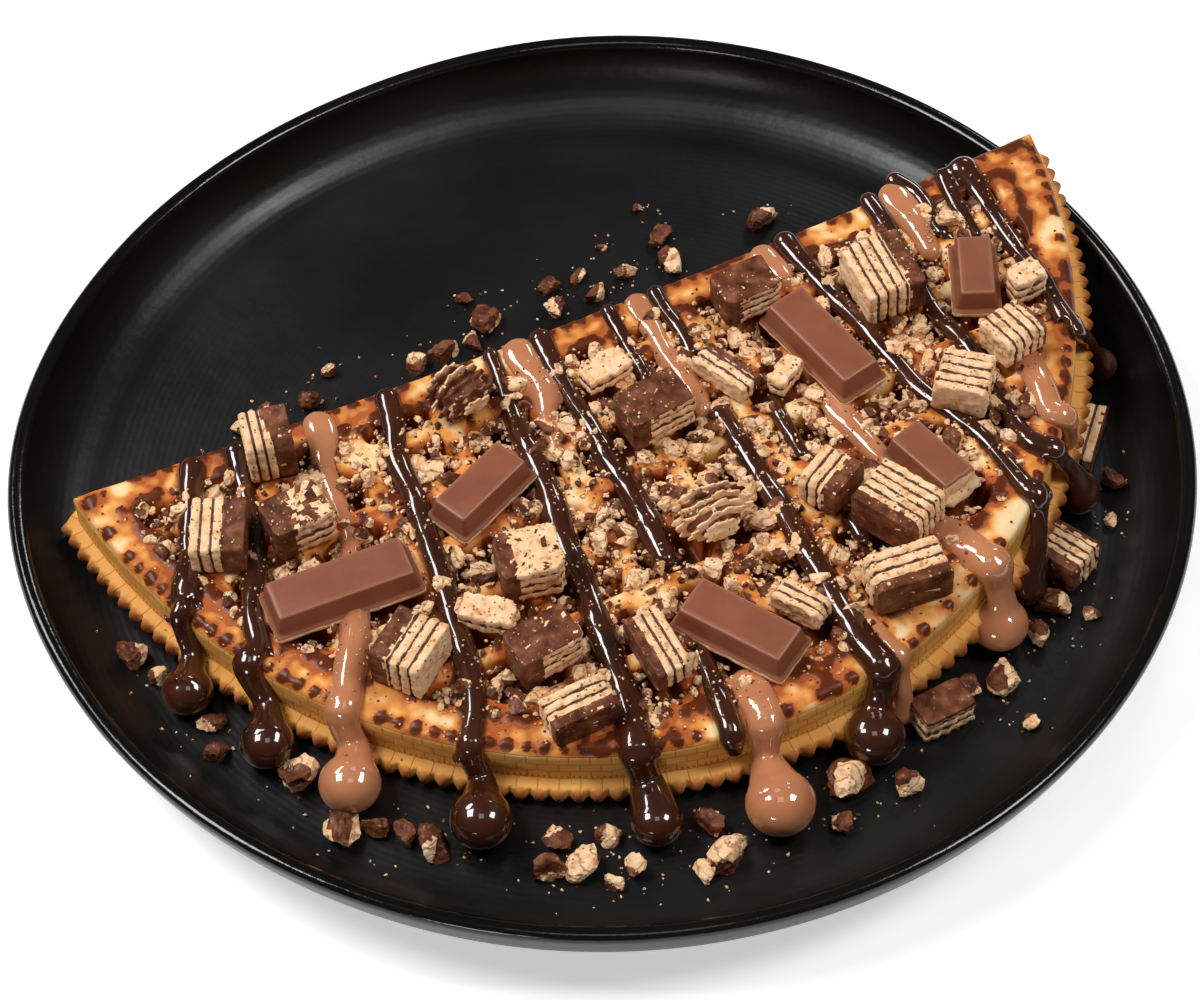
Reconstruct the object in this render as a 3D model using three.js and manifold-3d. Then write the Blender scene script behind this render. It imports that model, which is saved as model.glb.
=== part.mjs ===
// A half-moon dessert waffle on its black stoneware plate, dressed with chocolate wafer
// bars, broken wafer chunks, crumbs and two poured chocolate sauces.
// Millimetres, +Z up. The origin is the middle of the plate's foot, on the table.
import * as THREE from 'three';
import { mergeVertices } from 'three/addons/utils/BufferGeometryUtils.js';
import Module from 'manifold-3d';

const wasm = await Module();
wasm.setup();

// ---- driving dimensions ------------------------------------------------------------
const PLATE = {
  height: 22.3, floor: 6, wallFoot: 115, rimInner: 130.5, foot: [79, 86], segments: 44,
  under: [[89, 1.6], [113, 2.6], [121, 4.2], [128.2, 8.6], [132, 14], [134.4, 20]],
  driftFrom: 100, clear: 0.4,
};
// The plate is thrown by hand: how far its rim strays outwards, at every 30 degrees from +X.
const RIM_DRIFT = [0, 0.2, 1.2, 1.4, -1.4, -0.2, 2.2, 0, -1.4, -1.2, -0.9, -0.4];
const WAFFLE = {
  halfLength: 124, depth: 146, middle: 24, tip: 1.3, bow: 3.8,
  thick: 13, edgeRound: 1.2, underside: 0.4, border: 9.5, points: 64,
};
// The scalloped edge: how far its lobes reach out of the waffle, and their valleys.
const CRIMP = { reach: 4.8, valley: 2.3, thick: 3, pitch: 4.15, perLobe: 3 };
const POCKETS = {
  pitch: [21, 15.4], start: [-132.5, -10.1], count: [14, 8], ridge: 5, taper: 0.8, floor: 6,
  within: 0.97, clearOfChord: 3,
};
const POSE = { at: [-7.3, 35.7, 16.4], turn: 22.5, dip: 3.4, lean: -2.95 };
const GAP = 0.3;
// The height on which the toppings rest in the waffle's frame.
const REST = WAFFLE.thick + GAP + 0.1;
// A run of sauce: its section in widths of the run, and the spacing of its sections.
const SAUCE = { rise: 0.48, shoulder: 0.27, step: 15, sink: 0.25, endTaper: 0.62, beadSquash: 0.84 };
// How a run goes over the round edge: reach out of the edge, share of the way along it to the
// bead, share of the waffle's thickness, share of the width.
const OVER_EDGE = [[-2, 0, 1, 1], [0.8, 0.1, 0.86, 1], [2.4, 0.4, 0.55, 0.8], [4, 0.75, 0.22, 0.75]];
const HANGING = [[-2, 0, 0, 1], [0.6, 0, 1.5, 1], [1.2, -0.6, 0, 0.8]];
const CHUNK = {
  levels: 4, corners: 7, tuck: 0.93, least: 0.9, ragged: 0.16, wander: 0.05, square: 0.55,
  clear: 0.42, halfReach: 6.5,
};

// Sauces poured over the waffle: [u along the straight side, v towards the round side, width].
// drop is where the run's bead lies on the plate: [x, y, radius].
const STREAMS = [
  { path: [[-94, -1, 6], [-97, -8, 5.5], [-100, -16, 5], [-104, -25, 4.5], [-107, -33, 6.5],
    [-109.5, -38.5, 5.5]], drop: [-94, -58, 6.5] },
  { path: [[-84, -1, 5], [-86, -12, 5], [-88.5, -26, 5], [-92.5, -37, 6], [-96.5, -46, 5],
    [-98.5, -55, 5.5]], drop: [-76, -73, 6.8] },
  { path: [[-47.5, -2, 5.5], [-49, -12, 6], [-52, -22, 5.5], [-53, -35, 5.5], [-54.5, -50, 5.5],
    [-56.5, -62, 5.5], [-58.5, -75, 5.5], [-61, -88, 5.5]], drop: [-29.5, -95.5, 7.1] },
  { path: [[-21, -2, 3.8], [-22, -12, 4], [-23.5, -22, 4.8], [-24, -34, 5.5], [-24.5, -44, 6],
    [-27, -60, 6], [-27.5, -72, 6], [-29, -82, 5.5], [-31.5, -102, 7]], drop: [8, -97, 6.6] },
  { path: [[-9, -2, 5.5], [-9.5, -14, 5], [-9, -26, 4.5], [-8.5, -40, 5.5], [-8, -54, 6],
    [-8.5, -66, 6], [-8.8, -76, 5]] },
  { path: [[-11.5, -92, 4.5], [-12.5, -104, 5], [-14, -114, 5]], hang: 6 },
  { path: [[8.5, -2, 3.6], [8.5, -14, 3.6], [8.5, -28, 4]] },
  { path: [[20.5, -2, 4.2], [20.5, -10, 4.2], [21, -18, 3.4], [21, -25, 2.8]] },
  { path: [[18.5, -40, 5.5], [19.5, -50, 5.2], [20, -60, 5.5], [20.5, -72, 5.6], [21, -90, 6.4],
    [20.5, -100, 6], [20.5, -111, 7]], drop: [56, -77.5, 6.8] },
  { path: [[31.5, -42, 3.6], [31, -50, 4], [31, -63, 3.2]] },
  { path: [[33, -79, 3.6], [33.5, -89, 3.6]] },
  { path: [[54, -1, 6], [55, -10, 5], [57.5, -22, 4.5], [59.5, -34, 5], [61.5, -45, 5],
    [62, -56, 5], [63.5, -70, 3.8], [64, -82, 3.8], [62, -92, 6]], drop: [93.5, -36.5, 4.8] },
  { path: [[77.5, 1, 4.5], [78, -10, 4.2], [77.5, -24, 4], [76.8, -38, 4], [77.2, -50, 4],
    [78.5, -62, 4.5], [79.5, -74, 4.5]], drop: [107.5, -10.5, 5.9] },
  { path: [[84.5, 3.5, 5], [88.5, -4, 4.2], [89, -12, 4], [88.5, -20, 3.6]] },
  { path: [[101, 0.5, 9], [102, -6, 6], [102.8, -14, 5], [103.2, -26, 4.8], [103.3, -38, 4.8],
    [102.5, -48, 5.5]], drop: [117, 28, 4.6] },
  { path: [[97, 0, 4.5], [96, -8, 4], [95.5, -16, 3.6], [96, -23, 3]] },
  { path: [[-64.5, -1, 5], [-65.2, -9, 5.5], [-67.8, -17, 5], [-69, -28, 4.6], [-70.5, -40, 4.6],
    [-77.5, -60, 6.5], [-81.5, -68, 7], [-85.5, -75, 7.5]], drop: [-57.7, -85, 7.2] },
  { path: [[-15, -2, 5.5], [-15, -12, 6], [-14.5, -20, 7], [-17, -27, 4], [-18.5, -36, 3.4]] },
  { path: [[15.7, -2, 5], [15.7, -14, 5.3], [15.5, -24, 6], [16, -33, 4.8], [15.8, -42, 4]] },
  { path: [[47.2, -2, 5.5], [49, -10, 5], [49.5, -17, 4]] },
  { path: [[43, -47, 4], [44, -57, 5.5], [45.5, -66, 5.5], [47, -73, 4]] },
  { path: [[84, 1.5, 5.5], [83.7, -8, 6], [84, -16, 6], [83.8, -24, 5]] },
  { path: [[-6, -106, 4.5], [-6.5, -113, 6.5]], drop: [34.5, -94.5, 8.2] },
  { path: [[24, -103, 3], [25, -111, 3.6]], drop: [62.5, -69, 3.4] },
  { path: [[53, -91, 7], [54, -98, 8]], drop: [86, -48, 6.6] },
  { path: [[88, -60, 7], [89, -68, 8]], hang: 9 },
];

// Whole chocolate wafer bars: [u, v] of the middle, [length, width], turn in degrees.
const BAR = { height: 7, foot: 1.8, ledge: 0.7, slope: 0.3, bevel: 1.6, soften: 0.5 };
const BARS = [
  { name: 'bar_long_left', at: [-77, -51.3], size: [35, 14], turn: -2.5 },
  { name: 'bar_short_left', at: [-39, -40.8], size: [24.5, 12.5], turn: 25 },
  { name: 'bar_long_right', at: [47.8, -37.2], size: [31.5, 13.4], turn: -77.5 },
  { name: 'bar_short_right', at: [88.4, -34.8], size: [20.5, 11.5], turn: 65.9 },
  { name: 'bar_broken', at: [54.8, -78.6], size: [22.5, 12], turn: -73.5 },
  { name: 'bar_long_front', at: [-2.6, -99.2], size: [29, 13.6], turn: -57 },
];

// Broken wafer chunks. size is [along the strips, across, height]; lie 'flat' has its sheets
// level, 'edge' stands them upright so that the strips show on top.
const CHUNKS = [
  { name: 'chunk_back_left', at: [-78, -10.5], size: [11, 11, 14], turn: 80, lie: 'edge' },
  { name: 'chunk_left', at: [-96.3, -27], size: [16, 12.5, 9], turn: 66, lie: 'edge' },
  { name: 'chunk_inner_left', at: [-79.5, -31.5], size: [14.5, 11, 10], turn: 4, lie: 'flat' },
  { name: 'chunk_front_left', at: [-70, -75], size: [15, 12.5, 11], turn: 38, lie: 'flat' },
  { name: 'chunk_front_mid_left', at: [-43.5, -86], size: [15.5, 10.5, 10], turn: 8, lie: 'flat' },
  { name: 'chunk_front_edge', at: [-42.5, -103.5], size: [16, 9, 8], turn: 2, lie: 'edge' },
  { name: 'chunk_upright_strips', at: [-21.3, -96.8], size: [17, 8.5, 8], turn: 93, lie: 'edge' },
  { name: 'chunk_rough_middle', at: [-37.6, -65], size: [14.5, 12.5, 10.5], turn: -10, lie: 'flat' },
  { name: 'slab_middle_left', at: [-50.3, -71.5], size: [12.5, 7, 5], turn: -38, lie: 'flat' },
  { name: 'chunk_middle', at: [4.5, -38.5], size: [16, 11, 10], turn: 7, lie: 'flat' },
  { name: 'chunk_back_middle', at: [37.8, -16.6], size: [14, 10.5, 9], turn: 3, lie: 'flat' },
  { name: 'slab_middle_right', at: [24.2, -35], size: [16, 6.5, 6], turn: -65, lie: 'edge' },
  { name: 'slab_small_right', at: [36.2, -41.2], size: [9, 5, 5], turn: 30, lie: 'flat' },
  { name: 'chunk_back_right', at: [68, -27.5], size: [17.5, 14.5, 10.5], turn: 88, lie: 'edge' },
  { name: 'chunk_right', at: [87.3, -55], size: [11, 11.5, 9], turn: -76, lie: 'edge' },
  { name: 'chunk_inner_right', at: [71.2, -62.5], size: [12.5, 12, 9.5], turn: -40, lie: 'edge' },
  { name: 'chunk_centre_right', at: [32, -73.6], size: [12.5, 10, 9.5], turn: 30, lie: 'flat' },
  { name: 'chunk_big_right', at: [42, -87], size: [17, 13.5, 10.5], turn: -62, lie: 'edge' },
  { name: 'chunk_front_right', at: [35.5, -103.8], size: [18, 10.5, 10], turn: -6, lie: 'flat' },
  { name: 'crumble_centre', at: [4.5, -69.5], size: [17.5, 13, 10], turn: 0, lie: 'flat' },
  { name: 'curl_back_left', at: [-33, -14.5], size: [14.5, 13, 10.5], turn: 20, lie: 'edge' },
  { name: 'slab_back_middle', at: [0, -21.5], size: [12, 7, 4.5], turn: 10, lie: 'flat' },
  { name: 'slab_front_middle', at: [12, -99.5], size: [13, 6, 6.5], turn: -57, lie: 'edge' },
  { name: 'slab_far_right', at: [97.5, -42], size: [8.5, 6.5, 7.5], turn: 4, lie: 'flat' },
];
// The three chunks that lie on the plate: [x, y] and turn in the plate's own frame.
const PLATE_CHUNKS = [
  { name: 'slab_on_plate', at: [112.2, 6], size: [19, 5.5, 7], turn: 71, lie: 'edge' },
  { name: 'chunk_on_plate_right', at: [102.6, -28.5], size: [13, 11, 8.5], turn: -41, lie: 'edge' },
  { name: 'chunk_on_plate_front', at: [71.4, -69.5], size: [13, 8.5, 7], turn: 28, lie: 'flat' },
];

// Larger crumbs on the plate: [x, y, radius].
const PLATE_CRUMBS = [
  [-44, 39, 3.0], [-38, 43, 3.4], [-27, 53, 4.2], [-11, 56, 3.2], [-12, 64, 3.0], [-1, 60, 3.0],
  [18, 71, 3.2], [41, 83, 3.5], [-107, -45, 4.4], [-69, -80, 4.6], [-59, -94, 4.4],
  [-46, -96, 3.4], [-40, -99, 4.5], [-16, -106, 3.8], [-8, -105, 4.4], [20, -96, 3.4],
  [23.5, -103, 4.4], [50, -87, 4.6], [78, -61, 3.2], [86, -60, 4.2], [99, -40, 4.4],
  [117, -5, 3.0], [62, -88, 3.4],
];

// Larger crumbs that fill the waffle's pockets, laid by a jittered grid.
const FILL = {
  pitch: 16.5, least: 2.8, most: 3.9, jitter: 4, inset: 9, within: 0.98, clear: 0.2, sunk: 1.4,
  seed: 21,
};
const CRUMB = { least: 0.78, ragged: 0.42, squash: 0.8, lift: 0.5, plateSeed: 5 };
const COLOURS = { plate: '#141312', waffle: '#e0a850', bar: '#8c5242', chunk: '#c99a6c' };

// ---- helpers -------------------------------------------------------------------------
const rad = THREE.MathUtils.degToRad;

/** Small seeded random source, so that every build gives the same part. */
function seeded(seed) {
  let state = seed >>> 0;
  return () => {
    state = (state + 0x6d2b79f5) >>> 0;
    let t = Math.imul(state ^ (state >>> 15), 1 | state);
    t = (t + Math.imul(t ^ (t >>> 7), 61 | t)) ^ t;
    return ((t ^ (t >>> 14)) >>> 0) / 4294967296;
  };
}

/** A three.js geometry as a solid that can be joined and cut. */
function solid(geometry) {
  const bare = geometry.clone();
  bare.deleteAttribute('normal');
  bare.deleteAttribute('uv');
  const merged = mergeVertices(bare, 1e-4);
  return new wasm.Manifold(new wasm.Mesh({
    numProp: 3,
    vertProperties: new Float32Array(merged.attributes.position.array),
    triVerts: new Uint32Array(merged.index.array),
  }));
}

function geometryOf(manifold) {
  const mesh = manifold.getMesh();
  const geometry = new THREE.BufferGeometry();
  geometry.setAttribute('position', new THREE.BufferAttribute(mesh.vertProperties, 3));
  geometry.setIndex(new THREE.BufferAttribute(mesh.triVerts, 1));
  geometry.computeVertexNormals();
  return geometry;
}

/** Closed solid through rings of equal point count, each ring anticlockwise from its end. */
function loft(rings) {
  const count = rings[0].length;
  const points = rings.flat();
  const first = points.length;
  points.push(centreOf(rings[0]), centreOf(rings.at(-1)));
  const faces = [];
  for (let r = 0; r + 1 < rings.length; r += 1) {
    for (let k = 0; k < count; k += 1) {
      const a = r * count + k;
      const b = r * count + (k + 1) % count;
      faces.push(a, b, b + count, a, b + count, a + count);
    }
  }
  const last = (rings.length - 1) * count;
  for (let k = 0; k < count; k += 1) {
    faces.push(first, (k + 1) % count, k);
    faces.push(first + 1, last + k, last + (k + 1) % count);
  }
  const geometry = new THREE.BufferGeometry().setFromPoints(points);
  geometry.setIndex(faces);
  return geometry;
}

function centreOf(ring) {
  const sum = ring.reduce((total, p) => total.add(p), new THREE.Vector3());
  return sum.divideScalar(ring.length);
}

const join = (parts) => parts.reduce((all, part) => all.add(part));

/** The largest body of a cut result: loose scraps are dropped. */
function largest(manifold) {
  const bodies = manifold.decompose();
  return bodies.reduce((best, body) => (body.volume() > best.volume() ? body : best));
}

function finish(colour, roughness) {
  return new THREE.MeshStandardMaterial({ color: colour, roughness, metalness: 0 });
}

// ---- the pose of the waffle: it leans on the plate's rim at its right tip ---------------
const served = new THREE.Group();
served.position.set(...POSE.at);
served.rotation.set(rad(POSE.dip), rad(POSE.lean), rad(POSE.turn), 'ZXY');
served.updateMatrixWorld(true);
const fromPlate = served.matrixWorld.clone().invert();
const toWaffle = (x, y, z) => new THREE.Vector3(x, y, z).applyMatrix4(fromPlate);

// ---- plate -----------------------------------------------------------------------------
/** The height of the plate's inside at a distance from its middle. */
function insideAt(reach) {
  const { floor, wallFoot, rimInner, height } = PLATE;
  const part = THREE.MathUtils.clamp((reach - wallFoot) / (rimInner - wallFoot), 0, 1);
  return floor + (height - 1 - floor) * (1 - Math.sqrt(1 - part * part));
}

function platePoints(lift) {
  const { height, floor, wallFoot, rimInner, foot, under } = PLATE;
  const points = [[0, 1], [foot[0] - 1, 1], [foot[0], 0], [foot[1], 0], ...under,
    [rimInner + 2.9, height], [rimInner + 1, height - 0.3], [rimInner, height - 1]];
  for (const part of [0.94, 0.72, 0.4]) {
    const reach = wallFoot + (rimInner - wallFoot) * part;
    points.push([reach, insideAt(reach)]);
  }
  points.push([wallFoot, floor], [0, floor]);
  return points.map(([r, z]) => new THREE.Vector2(r, z + lift));
}

/** How far the rim strays outwards at an angle: a smooth closed curve through the list. */
function rimDrift(angle) {
  const count = RIM_DRIFT.length;
  const turn = ((angle / (2 * Math.PI)) % 1 + 1) % 1 * count;
  const slot = Math.floor(turn);
  const t = turn - slot;
  const [a, b, c, d] = [-1, 0, 1, 2].map((k) => RIM_DRIFT[(slot + k + count) % count]);
  const bend = (2 * a - 5 * b + 4 * c - d) * t ** 2 + (3 * b - a - 3 * c + d) * t ** 3;
  return 0.5 * (2 * b + (c - a) * t + bend);
}

function plateGeometry(lift = 0) {
  const lathe = new THREE.LatheGeometry(platePoints(lift), PLATE.segments).rotateX(Math.PI / 2);
  const at = lathe.attributes.position;
  const rim = PLATE.under.at(-1)[0];
  for (let i = 0; i < at.count; i += 1) {
    const reach = Math.hypot(at.getX(i), at.getY(i));
    const share = THREE.MathUtils.smoothstep(reach, PLATE.driftFrom, rim);
    const grow = 1 + share * rimDrift(Math.atan2(at.getY(i), at.getX(i))) / Math.max(reach, 1);
    at.setXY(i, at.getX(i) * grow, at.getY(i) * grow);
  }
  return lathe;
}

/** A crumb: a rough little lump, flattened where it lies. */
function crumb(radius, random) {
  const lump = new THREE.IcosahedronGeometry(radius, 0);
  const shape = mergeVertices(lump.deleteAttribute('normal').deleteAttribute('uv'), 1e-4);
  const at = shape.attributes.position;
  for (let i = 0; i < at.count; i += 1) {
    const grow = CRUMB.least + CRUMB.ragged * random();
    at.setXYZ(i, at.getX(i) * grow, at.getY(i) * grow, at.getZ(i) * grow * CRUMB.squash);
  }
  return shape;
}

// ---- waffle ----------------------------------------------------------------------------
/** The half-moon outline, inset by a distance: an oval's arc closed by a bowed straight side. */
function halfMoon(inset = 0) {
  const { halfLength, depth, middle, tip, bow } = WAFFLE;
  const a = halfLength - inset;
  const b = depth - inset;
  const end = tip - inset;
  const start = Math.asin((end - middle) / b);
  const reach = a * Math.cos(start);
  const shape = new THREE.Shape();
  shape.moveTo(-reach, end);
  shape.quadraticCurveTo(0, end - 2 * bow, reach, end);
  shape.absellipse(0, middle, a, b, start, -Math.PI - start, true);
  return shape;
}

/** Points of the outline at an even spacing, clockwise, with softened tips. */
function outlinePoints(inset, count, soften = 2) {
  let points = halfMoon(inset).getSpacedPoints(count).slice(0, count);
  for (let pass = 0; pass < soften; pass += 1) {
    points = points.map((p, k) => {
      const before = points[(k + count - 1) % count];
      const after = points[(k + 1) % count];
      return new THREE.Vector2().addVectors(before, after).addScaledVector(p, 2).divideScalar(4);
    });
  }
  return points;
}

function prism(points, bottom, top, bevel = 0) {
  const geometry = new THREE.ExtrudeGeometry(new THREE.Shape(points), {
    depth: top - bottom - 2 * bevel, bevelEnabled: bevel > 0, bevelThickness: bevel,
    bevelSize: bevel, bevelOffset: -bevel, bevelSegments: 1, curveSegments: 1,
  });
  return geometry.translate(0, 0, bottom + bevel);
}

/** The scalloped edge round the waffle's foot. */
function crimp() {
  const { reach, valley, thick, pitch, perLobe } = CRIMP;
  const lobes = Math.round(halfMoon().getLength() / pitch);
  const count = lobes * perLobe;
  const base = outlinePoints(0, count, 4);
  const points = base.map((p, k) => {
    const before = base[(k + count - 1) % count];
    const after = base[(k + 1) % count];
    const along = new THREE.Vector2().subVectors(after, before).normalize();
    const lobe = Math.abs(Math.sin(Math.PI * k / perLobe));
    const out = THREE.MathUtils.lerp(valley, reach, lobe);
    return new THREE.Vector2(p.x - along.y * out, p.y + along.x * out);
  });
  return solid(prism(points, 0, thick));
}

/** Tapered pockets on a grid, kept inside the waffle's flat border. */
function pockets() {
  const { pitch, start, count, ridge, taper, floor, within, clearOfChord } = POCKETS;
  const { halfLength, depth, middle, thick, border } = WAFFLE;
  const cells = [];
  const deep = thick + 1 - floor;
  for (let i = 0; i < count[0]; i += 1) {
    for (let j = 0; j < count[1]; j += 1) {
      const u = start[0] + i * pitch[0];
      const v = start[1] - j * pitch[1];
      if (Math.hypot(u / halfLength, (v - middle) / depth) < within && v < -clearOfChord) {
        const cell = new THREE.CylinderGeometry(Math.SQRT1_2, Math.SQRT1_2 * taper, deep, 4);
        cell.rotateY(Math.PI / 4).rotateX(Math.PI / 2);
        cell.scale(pitch[0] - ridge, pitch[1] - ridge, 1).translate(u, v, floor + deep / 2);
        cells.push(solid(cell));
      }
    }
  }
  const field = solid(prism(outlinePoints(border, WAFFLE.points), floor, thick + 1));
  return join(cells).intersect(field);
}

/** The direction out of the round side at a point, and the point moved onto the edge. */
function edgeAt(u, v) {
  const { halfLength, depth, middle } = WAFFLE;
  const k = 1 / Math.hypot(u / halfLength, (v - middle) / depth);
  const point = new THREE.Vector2(u * k, middle + (v - middle) * k);
  const out = new THREE.Vector2(point.x / halfLength ** 2, (point.y - middle) / depth ** 2);
  return { point, out: out.normalize() };
}

// ---- sauces ----------------------------------------------------------------------------
/** Ring of a run of sauce: domed on its outer side, flat where it lies. */
function sauceRing(at, tangent, side, width) {
  const outer = new THREE.Vector3().crossVectors(tangent, side).normalize();
  const { rise, shoulder } = SAUCE;
  const section = [[0.5, 0], [shoulder, rise], [-shoulder, rise], [-0.5, 0]];
  return section.map(([s, n]) => at.clone()
    .addScaledVector(side, -s * width).addScaledVector(outer, n * width));
}

/** A run of sauce along a path in space; every point carries its width. */
function sauceRun(path) {
  const curve = new THREE.CatmullRomCurve3(path.map(({ at }) => at), false, 'centripetal');
  const steps = Math.max(3, Math.round(curve.getLength() / SAUCE.step));
  const rings = [];
  let side = new THREE.Vector3(1, 0, 0);
  for (let k = 0; k <= steps; k += 1) {
    const t = k / steps;
    const slot = Math.min(path.length - 2, Math.floor(t * (path.length - 1)));
    const part = t * (path.length - 1) - slot;
    const taper = k === 0 || k === steps ? SAUCE.endTaper : 1;
    const width = THREE.MathUtils.lerp(path[slot].width, path[slot + 1].width, part) * taper;
    const tangent = curve.getTangent(t);
    const heading = new THREE.Vector3(tangent.x, tangent.y, 0);
    if (heading.length() > 0.2) side = new THREE.Vector3(-heading.y, heading.x, 0).normalize();
    rings.push(sauceRing(curve.getPoint(t), tangent, side, width));
  }
  return solid(loft(rings.reverse()));
}

/** The part of a run that goes over the round edge and down to its bead or its hanging end. */
function overEdge(last, stream) {
  const { thick } = WAFFLE;
  const [u, v, width] = last;
  const { point, out } = edgeAt(u, v);
  const along = new THREE.Vector2(-out.y, out.x);
  const place = (reach, slide, w, wide) => ({
    at: new THREE.Vector3(point.x + out.x * reach + along.x * slide,
      point.y + out.y * reach + along.y * slide, w),
    width: width * wide,
  });
  if (stream.hang) {
    const [lip, fold, end] = HANGING;
    return [place(lip[0], lip[1], thick, lip[3]), place(fold[0], fold[1], thick - fold[2], fold[3]),
      place(end[0], end[1], thick - stream.hang, end[3])];
  }
  const bead = beadCentre(stream.drop);
  const slide = new THREE.Vector2(bead.x, bead.y).sub(point).dot(along);
  const over = OVER_EDGE.map(([reach, share, height, wide]) => (
    place(reach, slide * share, thick * height, wide)));
  return [...over, { at: bead, width: width * OVER_EDGE[2][3] }];
}

function beadCentre([x, y, radius]) {
  const reach = Math.hypot(x, y);
  return toWaffle(x, y, insideAt(reach) + GAP + radius * SAUCE.beadSquash);
}

function bead(stream) {
  const radius = stream.drop[2];
  const ball = new THREE.IcosahedronGeometry(radius, 1).scale(1, 1, SAUCE.beadSquash);
  const at = beadCentre(stream.drop);
  return solid(ball.translate(at.x, at.y, at.z));
}

function sauces() {
  const runs = [];
  for (const stream of STREAMS) {
    const lie = WAFFLE.thick - SAUCE.sink;
    const path = stream.path.map(([u, v, width]) => (
      { at: new THREE.Vector3(u, v, lie), width }));
    const goesOver = stream.drop || stream.hang;
    const tail = goesOver ? overEdge(stream.path.at(-1), stream) : [];
    runs.push(sauceRun([...path, ...tail]));
    if (stream.drop) runs.push(bead(stream));
  }
  return join(runs);
}

// ---- toppings --------------------------------------------------------------------------
/** A whole bar: a wafer foot under a chocolate block with sloping sides and softened edges. */
function barGeometry({ size: [length, width] }, grow = 0) {
  const { height, foot, ledge, slope, bevel, soften } = BAR;
  const layers = [[0, -grow], [0, foot + grow], [ledge, foot + slope + grow],
    [bevel, height - soften + grow], [bevel + soften, height + grow]];
  const rings = layers.map(([inset, w]) => {
    const x = length / 2 - inset + grow;
    const y = width / 2 - inset + grow;
    const corners = [[-x, -y], [x, -y], [x, y], [-x, y]];
    return corners.map(([px, py]) => new THREE.Vector3(px, py, w));
  });
  return loft(rings);
}

/** A broken chunk: sheets with ragged outlines, stacked level or standing on edge. */
function chunkGeometry({ size: [length, width, height], lie, name }, grow = 0) {
  const random = seeded([...name].reduce((sum, letter) => sum * 31 + letter.charCodeAt(0), 7));
  const stack = lie === 'flat' ? height : width;
  const across = lie === 'flat' ? width : height;
  const { corners, levels, tuck, least, ragged, wander } = CHUNK;
  const rough = Array.from({ length: corners }, () => least + ragged * random());
  const rings = [];
  for (let k = 0; k < levels; k += 1) {
    const level = -stack / 2 + stack * k / (levels - 1);
    const inward = k % 2 ? tuck : 1;
    const ring = rough.map((reach, corner) => {
      const a = (corner + 0.5) / corners * 2 * Math.PI;
      const jitter = inward * (reach + wander * (random() - 0.5));
      const x = squared(Math.cos(a)) * length / 2 * jitter;
      const y = squared(Math.sin(a)) * across / 2 * jitter;
      return new THREE.Vector3(clamp(x, length / 2) + Math.sign(x) * grow,
        clamp(y, across / 2) + Math.sign(y) * grow, level);
    });
    rings.push(ring);
  }
  rings[0].forEach((p) => { p.z -= grow; });
  rings.at(-1).forEach((p) => { p.z += grow; });
  const geometry = loft(rings);
  if (lie === 'edge') geometry.rotateX(-Math.PI / 2);
  return geometry.translate(0, 0, height / 2);
}

const clamp = (value, most) => Math.max(-most, Math.min(most, value));
/** Pulls a round outline towards a square one. */
const squared = (value) => Math.sign(value) * Math.abs(value) ** CHUNK.square;

function placed(geometry, item) {
  return geometry.rotateZ(rad(item.turn)).translate(item.at[0], item.at[1], REST);
}

// ---- crumbs in the pockets ----------------------------------------------------------------
function nearTopping(u, v, radius) {
  return [...BARS, ...CHUNKS].some(({ at, size, turn }) => {
    const p = new THREE.Vector2(u - at[0], v - at[1]).rotateAround(new THREE.Vector2(), -rad(turn));
    const room = radius + FILL.clear;
    return Math.abs(p.x) < size[0] / 2 + room && Math.abs(p.y) < size[1] / 2 + room;
  });
}

function fillCrumbs() {
  const random = seeded(FILL.seed);
  const { halfLength, depth, middle, thick } = WAFFLE;
  const crumbs = [];
  for (let u = -halfLength; u < halfLength; u += FILL.pitch) {
    for (let v = -FILL.inset; v > middle - depth; v -= FILL.pitch) {
      const x = u + (random() - 0.5) * 2 * FILL.jitter;
      const y = v + (random() - 0.5) * 2 * FILL.jitter;
      const radius = THREE.MathUtils.lerp(FILL.least, FILL.most, random());
      const lump = crumb(radius, random).translate(x, y, thick - FILL.sunk);
      const reach = Math.hypot(x / (halfLength - FILL.inset), (y - middle) / (depth - FILL.inset));
      const inside = reach < FILL.within && y < -FILL.inset;
      if (inside && !nearTopping(x, y, radius)) crumbs.push(solid(lump));
    }
  }
  return join(crumbs);
}

// ---- assembly ------------------------------------------------------------------------------
function waffleSolid() {
  const { thick, edgeRound, underside, points } = WAFFLE;
  const body = solid(prism(outlinePoints(0, points), underside, thick, edgeRound));
  let waffle = body.add(crimp()).subtract(pockets()).add(fillCrumbs()).add(sauces());
  const clearance = [...BARS.map((bar) => placed(barGeometry(bar, GAP), bar)),
    ...CHUNKS.map((chunk) => placed(chunkGeometry(chunk, CHUNK.clear), chunk)),
    ...PLATE_CHUNKS.map((chunk) => onPlate(chunkGeometry(chunk, CHUNK.clear), chunk)
      .applyMatrix4(fromPlate)),
    plateGeometry(PLATE.clear).applyMatrix4(fromPlate)];
  for (const keepOut of clearance) waffle = waffle.subtract(solid(keepOut));
  return largest(waffle);
}

/** The height on which a chunk rests on the plate: its outer end may lie on the wall's foot. */
function plateRest([x, y]) {
  return insideAt(Math.hypot(x, y) + CHUNK.halfReach) + GAP;
}

function onPlate(geometry, item) {
  return geometry.rotateZ(rad(item.turn)).translate(item.at[0], item.at[1], plateRest(item.at));
}

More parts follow.
